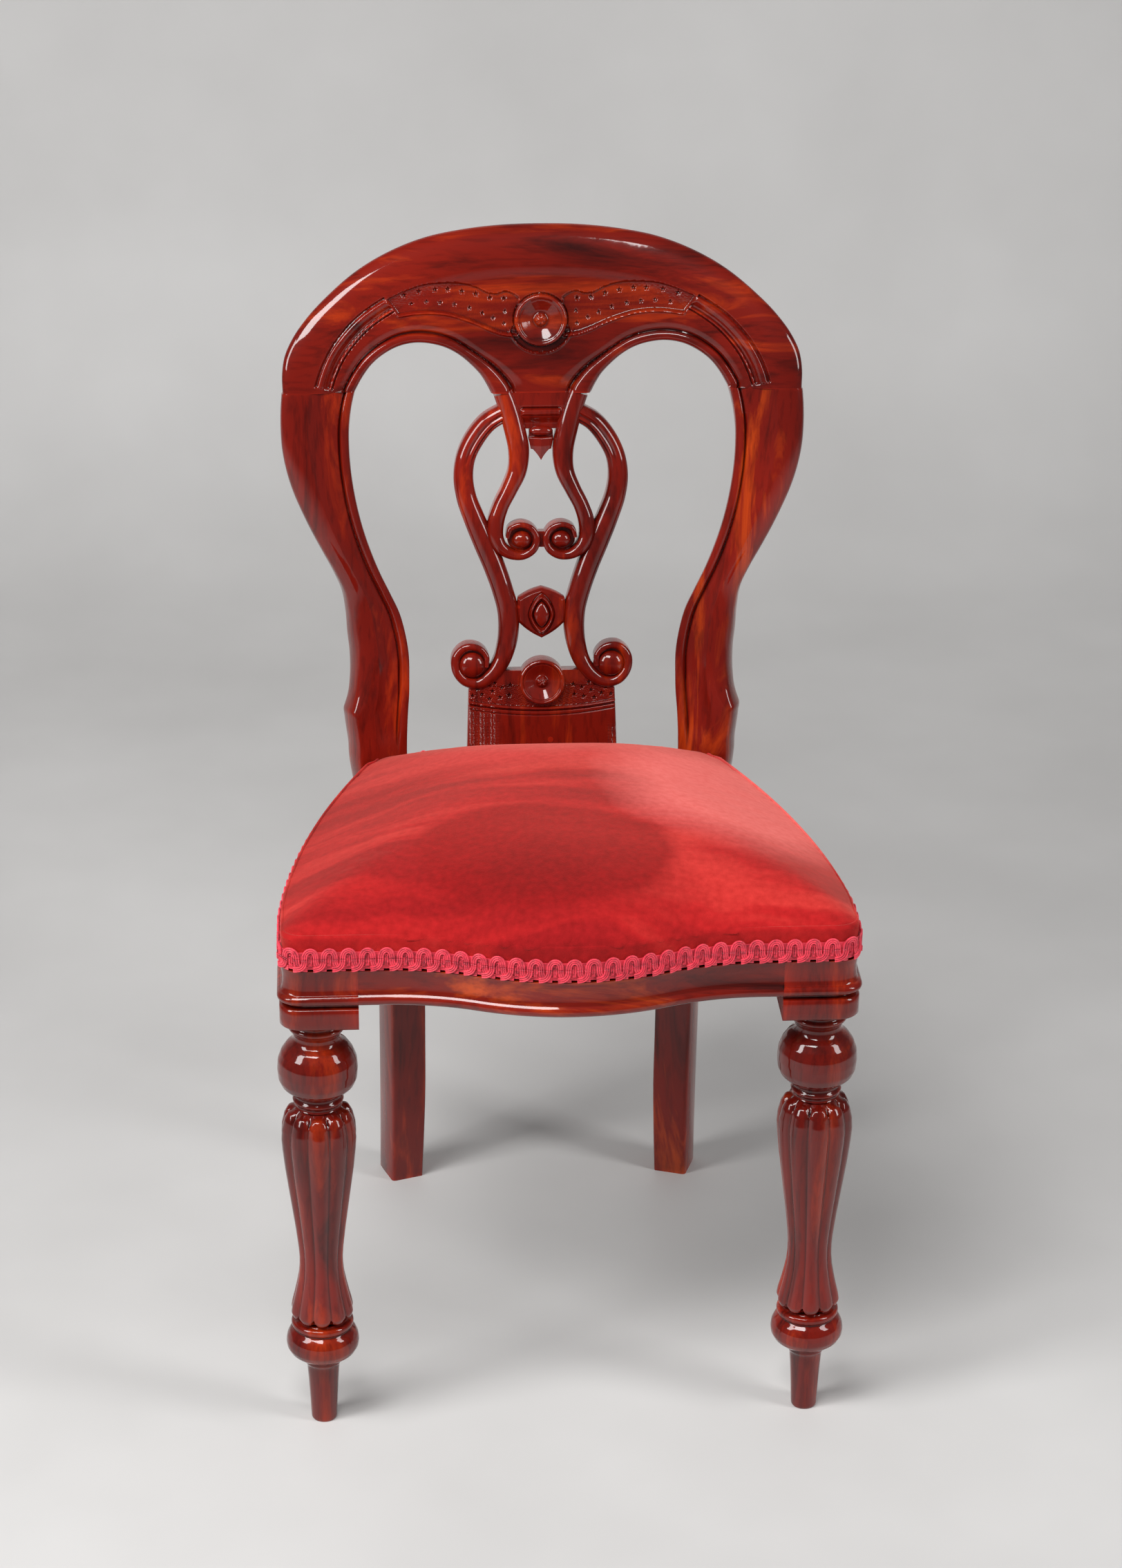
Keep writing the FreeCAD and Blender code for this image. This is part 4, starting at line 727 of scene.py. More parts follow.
LEG_LINE = [
    # Height, inner edge, outer edge, middle of the front face, depth
    (0, 116.5, 147.0, 196.0, 38), (50, 114.5, 146.6, 192.0, 38), (100, 113.0, 146.5, 188.0, 38),
    (160, 112.8, 146.6, 182.6, 38), (220, 113.0, 147.0, 177.5, 38), (280, 114.6, 149.6, 172.6, 37),
    (330, 117.0, 154.0, 168.0, 36), (370, 119.6, 159.0, 165.0, 35), (410, 122.5, 164.5, 162.5, 34),
    (440, 125.4, 169.6, 161.6, 33),
]


def back_post():
    """Rear leg and post: a section turned to the hoop, its edges read from the lines, from floor to joint.

    Each section runs round its front, where the depth is the outer roll plus the inner bead and a shallow
    hollow, and then round its side and back. Towards the joint its front bends into the back's hollow curve
    and its sides turn square to the back, so that it meets the crest rail.
    """
    legs = np.array(LEG_LINE) / 1000
    posts = np.array(POST_LINE) / 1000
    tan = math.tan(POST_TURN)
    touch = (0.1735 + 0.241) / 2
    plane = math.sqrt(PLAN_RADIUS**2 - touch**2) - PLAN_RADIUS
    rows = []
    for height, inner, outer, middle, depth in legs:
        swing = (outer - inner) / 2 * tan
        rows.append(
            [height, inner, middle + swing, height, outer, middle - swing, depth, 0.004, 0.003, 0, 1, 0]
        )
    for v, inner, outer, wide, deep in posts:
        y_inner = plane + (touch - inner) * tan
        y_outer = plane + (touch - outer) * tan
        first = raked(inner, v, y_inner)
        last = raked(outer, v, y_outer)
        shown = float(smoothstep(0.0, 0.03, v))
        thick = 0.032 - 0.003 * float(smoothstep(0.0, 0.30, v))
        drift = float(np.interp(v, [0.0, 0.120, 0.200, 0.300, 0.352], [1, 1, 0.55, 0.30, 0.0]))
        bend = float(smoothstep(0.250, 0.345, v))
        rows.append(
            [first[2], inner, first[1], last[2], outer, last[1], thick, wide, deep, shown, drift, bend]
        )
    rows = np.array(rows)
    knots = rows[:, 0]
    at = np.concatenate([np.linspace(0, 0.44, 90), np.linspace(0.44, knots[-1], 230)[1:]])
    z0, x0, y0, z1, x1, y1, depth, wide, deep, shown, drift, bend = through(knots, rows, at).T
    front = np.concatenate(
        [
            np.linspace(0, 0.36, 56),
            np.linspace(0.36, 0.62, 16)[1:],
            1 - 0.38 * np.cos(np.linspace(0, math.pi / 2, 24))[1:],
        ]
    )
    share = np.repeat(front[None], len(at), axis=0)
    width = np.hypot(x1 - x0, y1 - y0)[:, None]
    across = share * width
    roll = roll_over(width - across, wide[:, None], deep[:, None])
    hollow = 0.0022 * np.clip(1 - ((across / width - 0.40) / 0.22) ** 2, 0, 1)
    dip = roll + shown[:, None] * (hollow + edge_bead(across))
    dip += (1 - shown[:, None]) * 0.0016 * np.clip(1 - across / 0.0016, 0, 1) ** 2
    back_share = np.concatenate([[1.0], np.linspace(1, 0.97, 5), np.linspace(0.9, 0.1, 5), [0.03, 0.0]])
    back_dip = np.array([0.62, 0.72, 0.86, 0.94, 0.98, 0.99, 1, 1, 1, 1, 1, 0.99, 0.92])
    back_share = np.repeat(back_share[None], len(at), axis=0)
    share = np.concatenate([share, back_share], axis=1)
    dip = np.concatenate([dip, back_dip[None] * depth[:, None]], axis=1)
    drift = drift[:, None]
    sin = math.sin(POST_TURN) * drift
    cos = math.cos(POST_TURN) * drift + 1 - drift
    x_front = x0[:, None] + (x1 - x0)[:, None] * share
    curve = np.sqrt(PLAN_RADIUS**2 - x_front**2) - PLAN_RADIUS - plane - (touch - x_front) * tan
    dip_y = cos * dip + bend[:, None] * curve
    lean = np.clip((at - 0.40) / 0.10, 0, 1)[:, None] * math.sin(RAKE)
    x = x_front + sin * dip
    y = y0[:, None] + (y1 - y0)[:, None] * share + dip_y
    z = z0[:, None] + (z1 - z0)[:, None] * share - lean * dip_y
    z[0] = 0.0
    return skin(np.stack([x, y, z], axis=-1))


# Crest rail

HOOP = [(240.0, 352), (240.2, 370), (237.6, 386), (229.6, 403), (217.0, 420), (196.0, 441), (171.0, 461),
        (138.0, 479), (107.0, 490), (76.0, 496), (38.0, 500), (0.0, 501)]
ARCH = [(46.5, 345), (50.5, 353), (56.0, 362), (65.0, 372), (76.0, 381.5), (87.0, 388), (100.0, 392.3),
        (117.0, 394.2), (131.0, 392), (144.5, 386), (157.0, 376.5), (166.0, 365), (173.5, 352)]
BANNER_TOP = [(20.0, 434.5), (26, 438.5), (33, 440.5), (40, 438.5), (48, 439.0), (58, 444), (72, 448.3),
              (92, 449.6), (108, 448.6), (124, 444), (143, 436)]
BANNER_FOOT = [(131, 421.0), (118, 422.6), (102, 422.8), (86, 420.8), (72, 416.5), (58, 411), (46, 405.5),
               (36, 401.8), (22, 399.6)]
RIBBON = [(127, 437.5), (139, 431.5), (152, 424), (166, 414), (178, 402), (188, 389), (196.5, 373),
          (202, 357), (204, 347)]
RIBBON_ACROSS = [
    # Across the ribbon from its inner edge to its outer edge, and depth
    (-9.0, 0.0), (-8.3, 1.4), (-7.7, 1.5), (-6.9, -0.5), (-6.2, -0.8), (-5.4, 0.2), (-4.4, 1.9), (-2.5, 1.7),
    (-0.5, 0.4), (1.5, -0.7), (3.4, -0.9), (5.0, -0.2), (6.4, 1.6), (7.4, 2.3), (8.2, 1.8), (9.4, 0.0),
]
MEDALLION = (0.0, 413.0)
STARS_UPPER = [(127, 438.5), (113, 441.5), (98, 442.5), (86, 442.5), (73, 440.5), (60, 437.5),
               (47, 434), (34, 433)]
STARS_LOWER = [(120, 430), (106, 431.5), (93, 430.5), (80, 428.5), (66, 425), (54, 420), (44, 415),
               (34, 409.5), (33, 421)]
ROSETTE_LINE = [
    # Distance from the middle, depth: boss, dish, groove and rounded rim
    (0, 0.2), (1.6, 0.0), (3.6, 0.5), (5.2, 1.9), (6.3, 3.9), (7.4, 4.3), (9.5, 3.7), (12.5, 2.4),
    (16.0, 0.9), (18.6, -0.2), (19.6, -0.2), (20.2, -0.9), (21.4, -1.9), (22.6, -2.0), (23.6, -1.4),
    (24.2, -0.2), (24.6, 1.6),
]


def hoop_line(points):
    """The right half of an outline, given from its foot up, and its mirror image: left from foot to top."""
    right = np.array(points[::-1]) / 1000
    left = right[::-1] * np.array([-1.0, 1.0])
    return left, right


def star(u, v, centre, size):
    """How far inside a five-pointed star each point lies: 1 at its middle and 0 outside."""
    x = u - centre[0] / 1000
    y = v - centre[1] / 1000
    radius = np.hypot(x, y)
    angle = np.arctan2(x, y)
    sector = np.abs((angle / (2 * math.pi / 5) + 0.5) % 1 - 0.5) * 2
    reach = size * (0.40 + 0.60 * (1 - sector) ** 1.5)
    return np.clip(1.6 * (1 - radius / reach), 0, 1)


def rosette(radius, angle):
    """Depth across a turned rosette: its line by the distance from the middle, plus a cosine's six petals."""
    line = np.array(ROSETTE_LINE) / 1000
    petals = 0.0007 * np.cos(6 * angle) * np.exp(-(((radius - 0.0036) / 0.0018) ** 2))
    return np.interp(radius, line[:, 0], line[:, 1]) + petals


def crest_relief(u, v, hoop, arch):
    """Depth of the carved front: roll, hollow field, bead, sunk star panels, ribbons and the rosette.

    The terms are added up: the roll by the distance from the hoop, the bead by the distance from the arch,
    growing into the splat's strap, the panel by the distance inside its outline, and the ribbon's section by
    the signed distance from its course.
    """
    side = np.abs(u)
    from_hoop = distance_to(u, v, hoop)
    from_arch = distance_to(u, v, arch)
    depth = roll_over(from_hoop, 0.037, 0.016)
    depth += 0.0022 * smoothstep(0.034, 0.052, from_hoop)
    growth = smoothstep(0.392, 0.347, v) * smoothstep(0.112, 0.084, side)
    depth += edge_bead(from_arch / (1 + 1.0 * growth)) * (1 + 0.7 * growth)
    top = course(np.array(BANNER_TOP) / 1000, 60)
    foot = course(np.array(BANNER_FOOT) / 1000, 60)
    notch = np.array([(143.0, 436.0), (138.0, 428.4), (133.0, 421.0)]) / 1000
    loop = np.concatenate([top, notch[1:], foot])
    closed = np.concatenate([loop, loop[:1]])
    held = inside(side, v, loop)
    gap = distance_to(side, v, closed)
    round_rosette = np.hypot(u, v - MEDALLION[1] / 1000)
    beyond = round_rosette > 0.0250
    sunk = held & beyond
    depth += np.where(sunk, 0.0010 + 0.0016 * smoothstep(0.0, 0.0014, gap), 0)
    lip = distance_to(side, v, foot)
    depth -= 0.0017 * np.exp(-(((lip - 0.0015) / 0.0011) ** 2)) * (~held) * beyond
    for centre in STARS_UPPER:
        depth += np.where(sunk, 0.0020 * star(side, v, centre, 0.0036), 0)
    for centre in STARS_LOWER:
        depth += np.where(sunk, 0.0016 * star(side, v, centre, 0.0031), 0)
    tooth = np.sin(side * 2400 + 3 * np.sin(v * 900)) * np.sin(v * 2100 + 2 * np.sin(side * 1100))
    depth += np.where(sunk, 0.00020 * tooth * smoothstep(0.001, 0.003, gap), 0)
    ribbon = course(np.array(RIBBON) / 1000, 60)
    length = float(np.linalg.norm(np.diff(ribbon, axis=0), axis=1).sum())
    off, along = nearest(side, v, ribbon)
    across = np.array(RIBBON_ACROSS) / 1000
    cut = ((side - 0.133) * 15 - (v - 0.421) * 10) / 18.03
    ends = smoothstep(0.0006, 0.0018, cut) * (1 - smoothstep(length - 0.0105, length - 0.0092, along))
    within = (np.abs(off) < 0.0094) & (v < 0.438)
    depth += np.where(within, ends * np.interp(off, across[:, 0], across[:, 1]), 0)
    on = round_rosette < 0.0246
    angle = np.arctan2(u, v - MEDALLION[1] / 1000)
    depth = np.where(on, rosette(round_rosette, angle) + 0.0002, depth)
    below = smoothstep(-0.004, -0.012, v - MEDALLION[1] / 1000)
    crescent = (round_rosette > 0.0246) & (round_rosette < 0.0300 - 0.004 * (1 - below))
    depth += np.where(crescent, 0.0020 * below + 0.0006, 0)
    depth -= 0.0010 * below * np.exp(-(((round_rosette - 0.0310) / 0.0009) ** 2))
    return depth


def crest():
    """Front, rolled edge, back and inner edge of the crest rail as one loop of sections along the hoop."""
    left, right = hoop_line(HOOP)
    outer = course(np.concatenate([left[:-1], right]), 1201)
    arch = np.array(ARCH) / 1000
    arch_fine = course(arch, 300)
    joint = np.stack([np.linspace(-0.0465, 0.0465, 120), np.full(120, SPLAT_JOINT)], axis=1)
    left_arch = arch_fine[::-1] * np.array([-1.0, 1.0])
    inner = np.concatenate([left_arch, joint[1:-1], arch_fine])
    run_outer = np.linspace(0, 1, len(outer))
    gaps = np.linalg.norm(np.diff(inner, axis=0), axis=1)
    run_inner = np.concatenate([[0.0], np.cumsum(gaps)]) / gaps.sum()
    s = denser(640, 0.28, 0.72, 1.9)
    steps = [0, 0.12, 0.24, 0.40, 0.5, 0.60, 0.76, 0.88, 1]
    paced = [0, 0.075, 0.176, 0.39, 0.5, 0.61, 0.824, 0.925, 1]
    pace = through(steps, paced, s)
    out = np.stack([np.interp(s, run_outer, outer[:, axis]) for axis in (0, 1)], axis=1)
    into = np.stack([np.interp(pace, run_inner, inner[:, axis]) for axis in (0, 1)], axis=1)
    plain = denser(112, 0.25, 0.85, 1.7) * 0.86
    t = np.concatenate([plain, 0.86 + 0.14 * np.sin(np.linspace(0, math.pi / 2, 21))[1:]])
    u = into[:, None, 0] + (out - into)[:, None, 0] * t[None]
    v = into[:, None, 1] + (out - into)[:, None, 1] * t[None]
    left_depth = crest_relief(u, v, outer[::4], np.concatenate([left_arch[::6], left_arch[-1:]]))
    right_depth = crest_relief(u, v, outer[::4], arch_fine[::6])
    depth = np.where(u < 0, left_depth, right_depth)
    back_t = np.array([0.99, 0.97, 0.93, 0.8, 0.5, 0.2, 0.04, 0.0])
    back_u = into[:, None, 0] + (out - into)[:, None, 0] * back_t[None]
    back_v = into[:, None, 1] + (out - into)[:, None, 1] * back_t[None]
    back_depth = np.array([0.0205, 0.0245, 0.0278, 0.029, 0.029, 0.029, 0.0286, 0.0265])
    u = np.concatenate([u, back_u], axis=1)
    v = np.concatenate([v, back_v], axis=1)
    depth = np.concatenate([depth, np.repeat(back_depth[None], len(s), axis=0)], axis=1)
    return skin(on_back(u, v, depth))


# Splat

INNER_STRAP = [
    (35.0, 345, 19.0), (32.0, 337, 19.5), (28.5, 326, 20.0), (24.5, 310, 20.0), (20.8, 290, 19.5),
    (22.3, 271, 17.5), (30.0, 253, 15.0), (38.0, 237, 14.5), (42.6, 222, 15.0), (42.6, 208, 14.0),
    (37.2, 197.4, 11.6), (28.0, 191.6, 9.2), (17.0, 190.8, 7.8), (7.2, 197.0, 7.0), (4.4, 207.5, 6.4),
    (10.0, 217.0, 5.8), (20.5, 220.2, 5.2), (29.5, 216.0, 4.4), (32.0, 208.0, 3.2),
]
OUTER_STRAP = [
    (34.0, 326, 17.0), (49.5, 316.5, 18.0), (61.5, 302, 18.5), (70.2, 284, 18.0), (72.8, 264, 18.5),
    (70.2, 246, 19.0), (63.2, 226, 20.0), (53.8, 203, 21.0), (44.2, 179, 20.5), (36.8, 157, 20.0),
    (31.8, 137, 20.0), (31.0, 120, 19.5), (33.2, 103, 18.0), (38.6, 87.0, 15.6), (48.0, 74.0, 13.0),
    (60.0, 67.0, 10.6), (72.8, 69.3, 9.2), (81.2, 80.4, 8.6), (81.0, 93.4, 8.2), (71.8, 102.2, 7.4),
    (59.6, 101.0, 6.4), (52.4, 92.6, 5.2), (52.6, 83.5, 3.6),
]


def strap(stations, crown, back, height, fluted, count):
    """A strap carved round in front: depth = crown + height * (1 - sqrt(1 - x^2)) across.

    From its start to the share fluted of its length, a hollow and a fine groove part it into two ridges.
    """
    line = course(np.array(stations) / 1000, count)
    forward = np.gradient(line[:, :2], axis=0)
    forward /= np.linalg.norm(forward, axis=1)[:, None]
    side = np.stack([-forward[:, 1], forward[:, 0]], axis=1)
    across = np.sin(np.linspace(-math.pi / 2, math.pi / 2, 37))[None]
    half = line[:, 2:3] / 2
    lift = np.minimum(height, half * 0.9)
    depth = crown + lift * (1 - np.sqrt(np.clip(1 - (across * 0.985) ** 2, 0, 1)))
    if fluted:
        run = np.linspace(0, 1, count)[:, None]
        fade = 1 - smoothstep(fluted * 0.6, fluted, run)
        depth = depth + fade * 0.0021 * np.exp(-(((across + 0.10) / 0.20) ** 2))
        depth = depth + fade * 0.0016 * np.exp(-(((across + 0.66) / 0.07) ** 2))
    place = across * half
    walls = np.array([1.0, -1.0])
    place = np.concatenate([place, walls[None] * half], axis=1)
    depth = np.concatenate([depth, np.full((count, 2), back)], axis=1)
    u = line[:, None, 0] + side[:, None, 0] * place
    v = line[:, None, 1] + side[:, None, 1] * place
    return skin(on_splat(u, v, depth))


def plaque(outline, relief, back, rings=40):
    """A carved piece with a closed outline: rings from its middle to its edge, its depth read from relief."""
    outline = np.asarray(outline)
    middle = outline.mean(axis=0)
    t = np.concatenate([[0.02], np.linspace(0.06, 1, rings)])
    u = middle[0] + (outline[None, :, 0] - middle[0]) * t[:, None]
    v = middle[1] + (outline[None, :, 1] - middle[1]) * t[:, None]
    depth = relief(u, v)
    u = np.concatenate([u, u[-1:], u[:1]])
    v = np.concatenate([v, v[-1:], v[:1]])
    rear = np.full((2, u.shape[1]), back)
    return skin(on_splat(u, v, np.concatenate([depth, rear])))


def ring(centre, wide, tall, count=120):
    """Points round an oval: centre + (wide * cos(angle), tall * sin(angle))."""
    angle = np.linspace(0, math.tau, count, endpoint=False)
    return np.stack([centre[0] + wide * np.cos(angle), centre[1] + tall * np.sin(angle)], axis=1)


def eye(centre, wide, tall, crown, rise):
    """The round end of a scroll: depth = crown + rise * (1 - sqrt(1 - (0.985 r)^2)) on a round core."""

    def relief(u, v):
        """Depth by the distance r from the middle, 1 at the rim."""
        r = np.hypot((u - centre[0]) / wide, (v - centre[1]) / tall)
        return crown + rise * (1 - np.sqrt(np.clip(1 - (0.985 * r) ** 2, 0, 1)))

    return plaque(ring(centre, wide, tall), relief, 0.020, 20)


def outline_through(corners, bow=0.0):
    """A closed outline from corner to corner, each side bowed in or out by a share of its length."""
    corners = np.array(corners) / 1000
    sides = []
    t = np.linspace(0, 1, 24, endpoint=False)[:, None]
    for start, end in zip(corners, np.roll(corners, -1, axis=0)):
        step = end - start
        normal = np.array([step[1], -step[0]])
        sides.append(start + step * t + normal * bow * np.sin(math.pi * t))
    return np.concatenate(sides)


def lozenge():
    """The waist ornament: a six-sided bevelled plate, and an almond boss in a groove and a round rim."""
    corners = [(0, 158.5), (22, 148.5), (22, 126), (0, 110.5), (-22, 126), (-22, 148.5)]
    outline = outline_through(corners, -0.05)
    closed = np.concatenate([outline, outline[:1]])

    def relief(u, v):
        """Depth by the distances x and y from the boss's middle, 1 at its points."""
        x = np.abs(u) / 0.0106
        y = np.abs(v - 0.1335) / 0.0172
        almond = x**1.5 + y**1.5
        depth = 0.0036 + 0.0024 * np.clip(1 - distance_to(u, v, closed) / 0.0026, 0, 1)
        depth = depth - 0.0030 * np.exp(-(((almond - 0.93) / 0.15) ** 2))
        depth = depth + 0.0010 * np.exp(-(((almond - 0.64) / 0.07) ** 2))
        depth = depth + 0.0010 * np.exp(-(((almond - 1.26) / 0.09) ** 2))
        return depth - 0.0040 * np.sqrt(np.clip(1 - (almond / 0.60) ** 1.6, 0, 1))

    return plaque(outline, relief, 0.020, 90)


def pendant():
    """The leaf drop: an oval pad standing on a shouldered leaf that is ridged down its middle to a point."""
    corners = [(-11.2, 309), (-7, 313.0), (0, 314.2), (7, 313.0), (11.2, 309), (11.8, 301), (10.2, 294.6),
               (9.6, 291.6), (7.6, 291.2), (3.6, 286.6), (0, 281.0),
               (-3.6, 286.6), (-7.6, 291.2), (-9.6, 291.6),
               (-10.2, 294.6), (-11.8, 301)]
    outline = outline_through(corners, 0.02)

    def relief(u, v):
        """Depth by the squared oval distance from the berry, over a ridged leaf."""
        oval = (u / 0.0110) ** 2 + ((v - 0.3088) / 0.0050) ** 2
        leaf = smoothstep(0.3045, 0.3020, v)
        ridge = 0.0052 * np.clip(1 - np.abs(u) / 0.0125, 0, 1)
        fall = 0.0030 * smoothstep(0.296, 0.282, v)
        depth = 0.0066 - leaf * ridge + leaf * fall
        depth = depth - 0.0064 * np.clip(1 - oval, 0, 1) ** 0.45
        return depth + 0.0012 * np.exp(-(((v - 0.3030) / 0.0008) ** 2))

    return plaque(outline, relief, 0.018, 70)


def wedge():
    """The field between the straps, level with the crest rail, with a moulded cross-bar over a hollow."""
    v = np.linspace(0.3105, SPLAT_JOINT, 120)
    half = np.interp(v, [0.310, 0.330, 0.345], [0.024, 0.029, 0.038])
    t = np.linspace(-1, 1, 80)
    u = half[:, None] * t[None]
    v = np.repeat(v[:, None], len(t), axis=1)
    shown = smoothstep(1.0, 0.84, np.abs(u) / 0.0195)
    depth = 0.0018 + 0.0004 * smoothstep(0.335, 0.330, v)
    depth += 0.0052 * smoothstep(0.3245, 0.3150, v)
    bar = np.clip(1 - ((v - 0.3268) / 0.0030) ** 2, 0, 1)
    depth -= 0.0024 * np.sqrt(bar) * shown
    depth += 0.0016 * np.exp(-(((v - 0.3306) / 0.0009) ** 2)) * shown
    back_u = np.stack([u[:, -1], u[:, 0]], axis=1)
    back_v = v[:, :2]
    depth = np.concatenate([depth, np.full((len(v), 2), 0.0215)], axis=1)
    return skin(on_splat(np.concatenate([u, back_u], axis=1), np.concatenate([v, back_v], axis=1), depth))


PANEL_STARS = [(31, 55), (38, 62), (40, 53), (47, 59), (50, 51.5), (57, 56),
                (61, 62), (66, 55), (30, 65), (53, 66),
               (45, 67)]


def panel():
    """The splat's foot: a plain field below an arched double line, and a sunk star-punched band above it."""
    rows = np.concatenate([np.linspace(-10, 78, 230), [79.0]]) / 1000
    heights = [-0.010, 0.0, 0.060, 0.064, 0.0645, 0.079]
    widths = [0.0718, 0.0715, 0.0696, 0.0690, 0.050, 0.036]
    half = np.interp(rows, heights, widths)
    t = np.linspace(-1, 1, 300)
    u = half[:, None] * t[None]
    v = np.repeat(rows[:, None], len(t), axis=1)
    step = 0.0400 + 0.0070 * (u / 0.070) ** 2
    above = smoothstep(step + 0.0030, step + 0.0040, v)
    depth = 0.0034 + 0.0018 * above
    depth -= 0.0011 * np.exp(-(((v - step - 0.0020) / 0.0011) ** 2))
    depth += 0.0013 * np.exp(-(((v - step + 0.0004) / 0.0006) ** 2))
    depth += 0.0008 * np.exp(-(((v - step + 0.0046) / 0.0005) ** 2))
    for centre in PANEL_STARS:
        depth += 0.0020 * above * star(np.abs(u), v, centre, 0.0030)
    punched = above * smoothstep(0.072, 0.062, v)
    first_wave = np.sin(u * 2300 + 2 * np.sin(v * 700))
    second_wave = np.sin(v * 2500 + 2 * np.sin(u * 900))
    depth += 0.00030 * punched * first_wave * second_wave
    field = (1 - above) * smoothstep(-0.002, 0.004, v)
    left = smoothstep(-0.036, -0.044, u) * smoothstep(-0.0705, -0.0690, u)
    right = smoothstep(0.060, 0.064, u) * smoothstep(0.030, 0.020, v)
    hatch = field * np.maximum(left, right) * (0.6 + 0.4 * np.sin(u * 1900))
    depth += 0.00034 * hatch * np.sin(v * 4300 + 0.9 * np.sin(u * 600))
    edge = 1 - np.abs(t)[None] * np.ones_like(u)
    depth += 0.0014 * np.clip(1 - edge / 0.016, 0, 1) ** 2
    depth = np.concatenate([depth, np.full((len(rows), 2), 0.022)], axis=1)
    back_u = np.stack([u[:, -1], u[:, 0]], axis=1)
    points = on_splat(np.concatenate([u, back_u], axis=1), np.concatenate([v, v[:, :2]], axis=1), depth)
    return skin(points)


def splat_parts():
    """Every carved part of the splat."""
    parts = [wedge(), panel(), lozenge(), pendant()]
    for part in (
        strap(OUTER_STRAP, 0.0010, 0.0212, 0.0088, 0.20, 460),
        strap(INNER_STRAP, -0.0016, 0.0206, 0.0086, 0.0, 380),
        eye((0.0185, 0.2058), 0.0094, 0.0080, -0.0020, 0.0072),
        eye((0.0185, 0.2058), 0.0135, 0.0115, 0.0070, 0.0010),
        eye((0.0660, 0.0850), 0.0124, 0.0120, -0.0022, 0.0078),
        eye((0.0660, 0.0850), 0.0165, 0.0160, 0.0072, 0.0010),
    ):
        parts += [part, mirrored(part)]
    bridge = outline_through([(-5, 213), (5, 213), (5, 198), (-5, 198)])
    parts.append(plaque(bridge, lambda u, v: 0.006 + 0 * u, 0.019, 4))
    middle = (0.0, 0.0685)

    def relief(u, v):
        """The rosette's depth at this distance and angle, set back by 0.4 mm."""
        radius = np.hypot(u - middle[0], v - middle[1]) * 0.0246 / 0.0220
        return rosette(radius, np.arctan2(u, v - middle[1])) - 0.0004

    parts.append(plaque(ring(middle, 0.0220, 0.0220, 160), relief, 0.020, 90))
    return parts


# Upholstery


def seat_outline(inset, count):
    """The seat's plan, evenly spaced: bowed front, round corners, sides drawn in to the back."""
    front = FRONT + inset
    rear = 0.179 - inset
    corner = SEAT_CORNER
    wide = HALF_WIDTH - inset
    x = np.linspace(0, BOW_HALF, 60)
    turn = np.linspace(0, math.pi / 2, 20)
    along = np.linspace(0, rear - SEAT_START, 60)
    half_x = np.concatenate([x, wide - corner + corner * np.sin(turn), side_at(along, inset)])
    half_y = np.concatenate([front - bow_at(x), front + corner - corner * np.cos(turn), SEAT_START + along])
    rear_corner = 0.014
    bend = np.linspace(0, math.pi / 2, 10)
    keep = half_y < rear - rear_corner
    end_x = half_x[-1]
    half_x = np.concatenate([half_x[keep], end_x - rear_corner * (1 - np.cos(bend))])
    half_y = np.concatenate([half_y[keep], rear - rear_corner * (1 - np.sin(bend))])
    loop = np.concatenate(
        [np.stack([half_x, half_y], axis=1), np.stack([-half_x[::-1], half_y[::-1]], axis=1)[:-1]]
    )
    closed = np.concatenate([loop, loop[:1]])
    gaps = np.linalg.norm(np.diff(closed, axis=0), axis=1)
    run = np.concatenate([[0.0], np.cumsum(gaps)])
    even = np.linspace(0, run[-1], count, endpoint=False)
    return np.stack([np.interp(even, run, closed[:, axis]) for axis in (0, 1)], axis=1)


def fall(y):
    """How far the seat has dropped at y, behind the leg blocks."""
    return np.maximum(y - SEAT_START, 0) * SEAT_FALL


def seat_point(x, along, z):
    """Points of the seat's own frame, leaning back from the leg blocks: across, to the rear, square up."""
    angle = math.atan(SEAT_FALL)
    y = SEAT_START + along * math.cos(angle) + z * math.sin(angle)
    return np.stack([x + 0 * along, y, RAIL_TOP - along * math.sin(angle) + z * math.cos(angle)], axis=-1)


def dome(settings):
    """The stuffed seat's crown: rings drawn in to the middle, height = crown * (1 - s^p)^q over a low wall.

    The powers p and q pass from full and steep at the front to low and round at the sides and the back.
    """
    outline = seat_outline(0.0004, 400)
    middle = np.array([0.0, 0.027])
    off = outline - middle
    reach = np.stack([off[:, 0] / 0.2175, off[:, 1] / np.where(off[:, 1] < 0, 0.315, 0.150)], axis=1)
    reach /= np.linalg.norm(reach, axis=1)[:, None]
    front = np.where(reach[:, 1] < 0, reach[:, 1] ** 2, 0)
    rear = np.where(reach[:, 1] >= 0, reach[:, 1] ** 2, 0)
    aside = reach[:, 0] ** 2
    power = 1.70 * aside + 3.9 * front + 1.9 * rear
    root = 1.05 * aside + 0.60 * front + 1.15 * rear
    spread = np.cos(np.linspace(0, math.pi / 2, 70)) ** 0.5
    spread[-1] = 0.01
    height = settings.crown * np.clip(1 - spread[:, None] ** power[None], 0, 1) ** root[None]
    xy = middle + off[None] * spread[:, None, None]
    top = seat_point(xy[..., 0], xy[..., 1] - SEAT_START, height + 0.0074)
    floor = seat_point(outline[:, 0], outline[:, 1] - SEAT_START, np.full(len(outline), SHEET_LOW))
    return skin(np.concatenate([floor[None], top]))


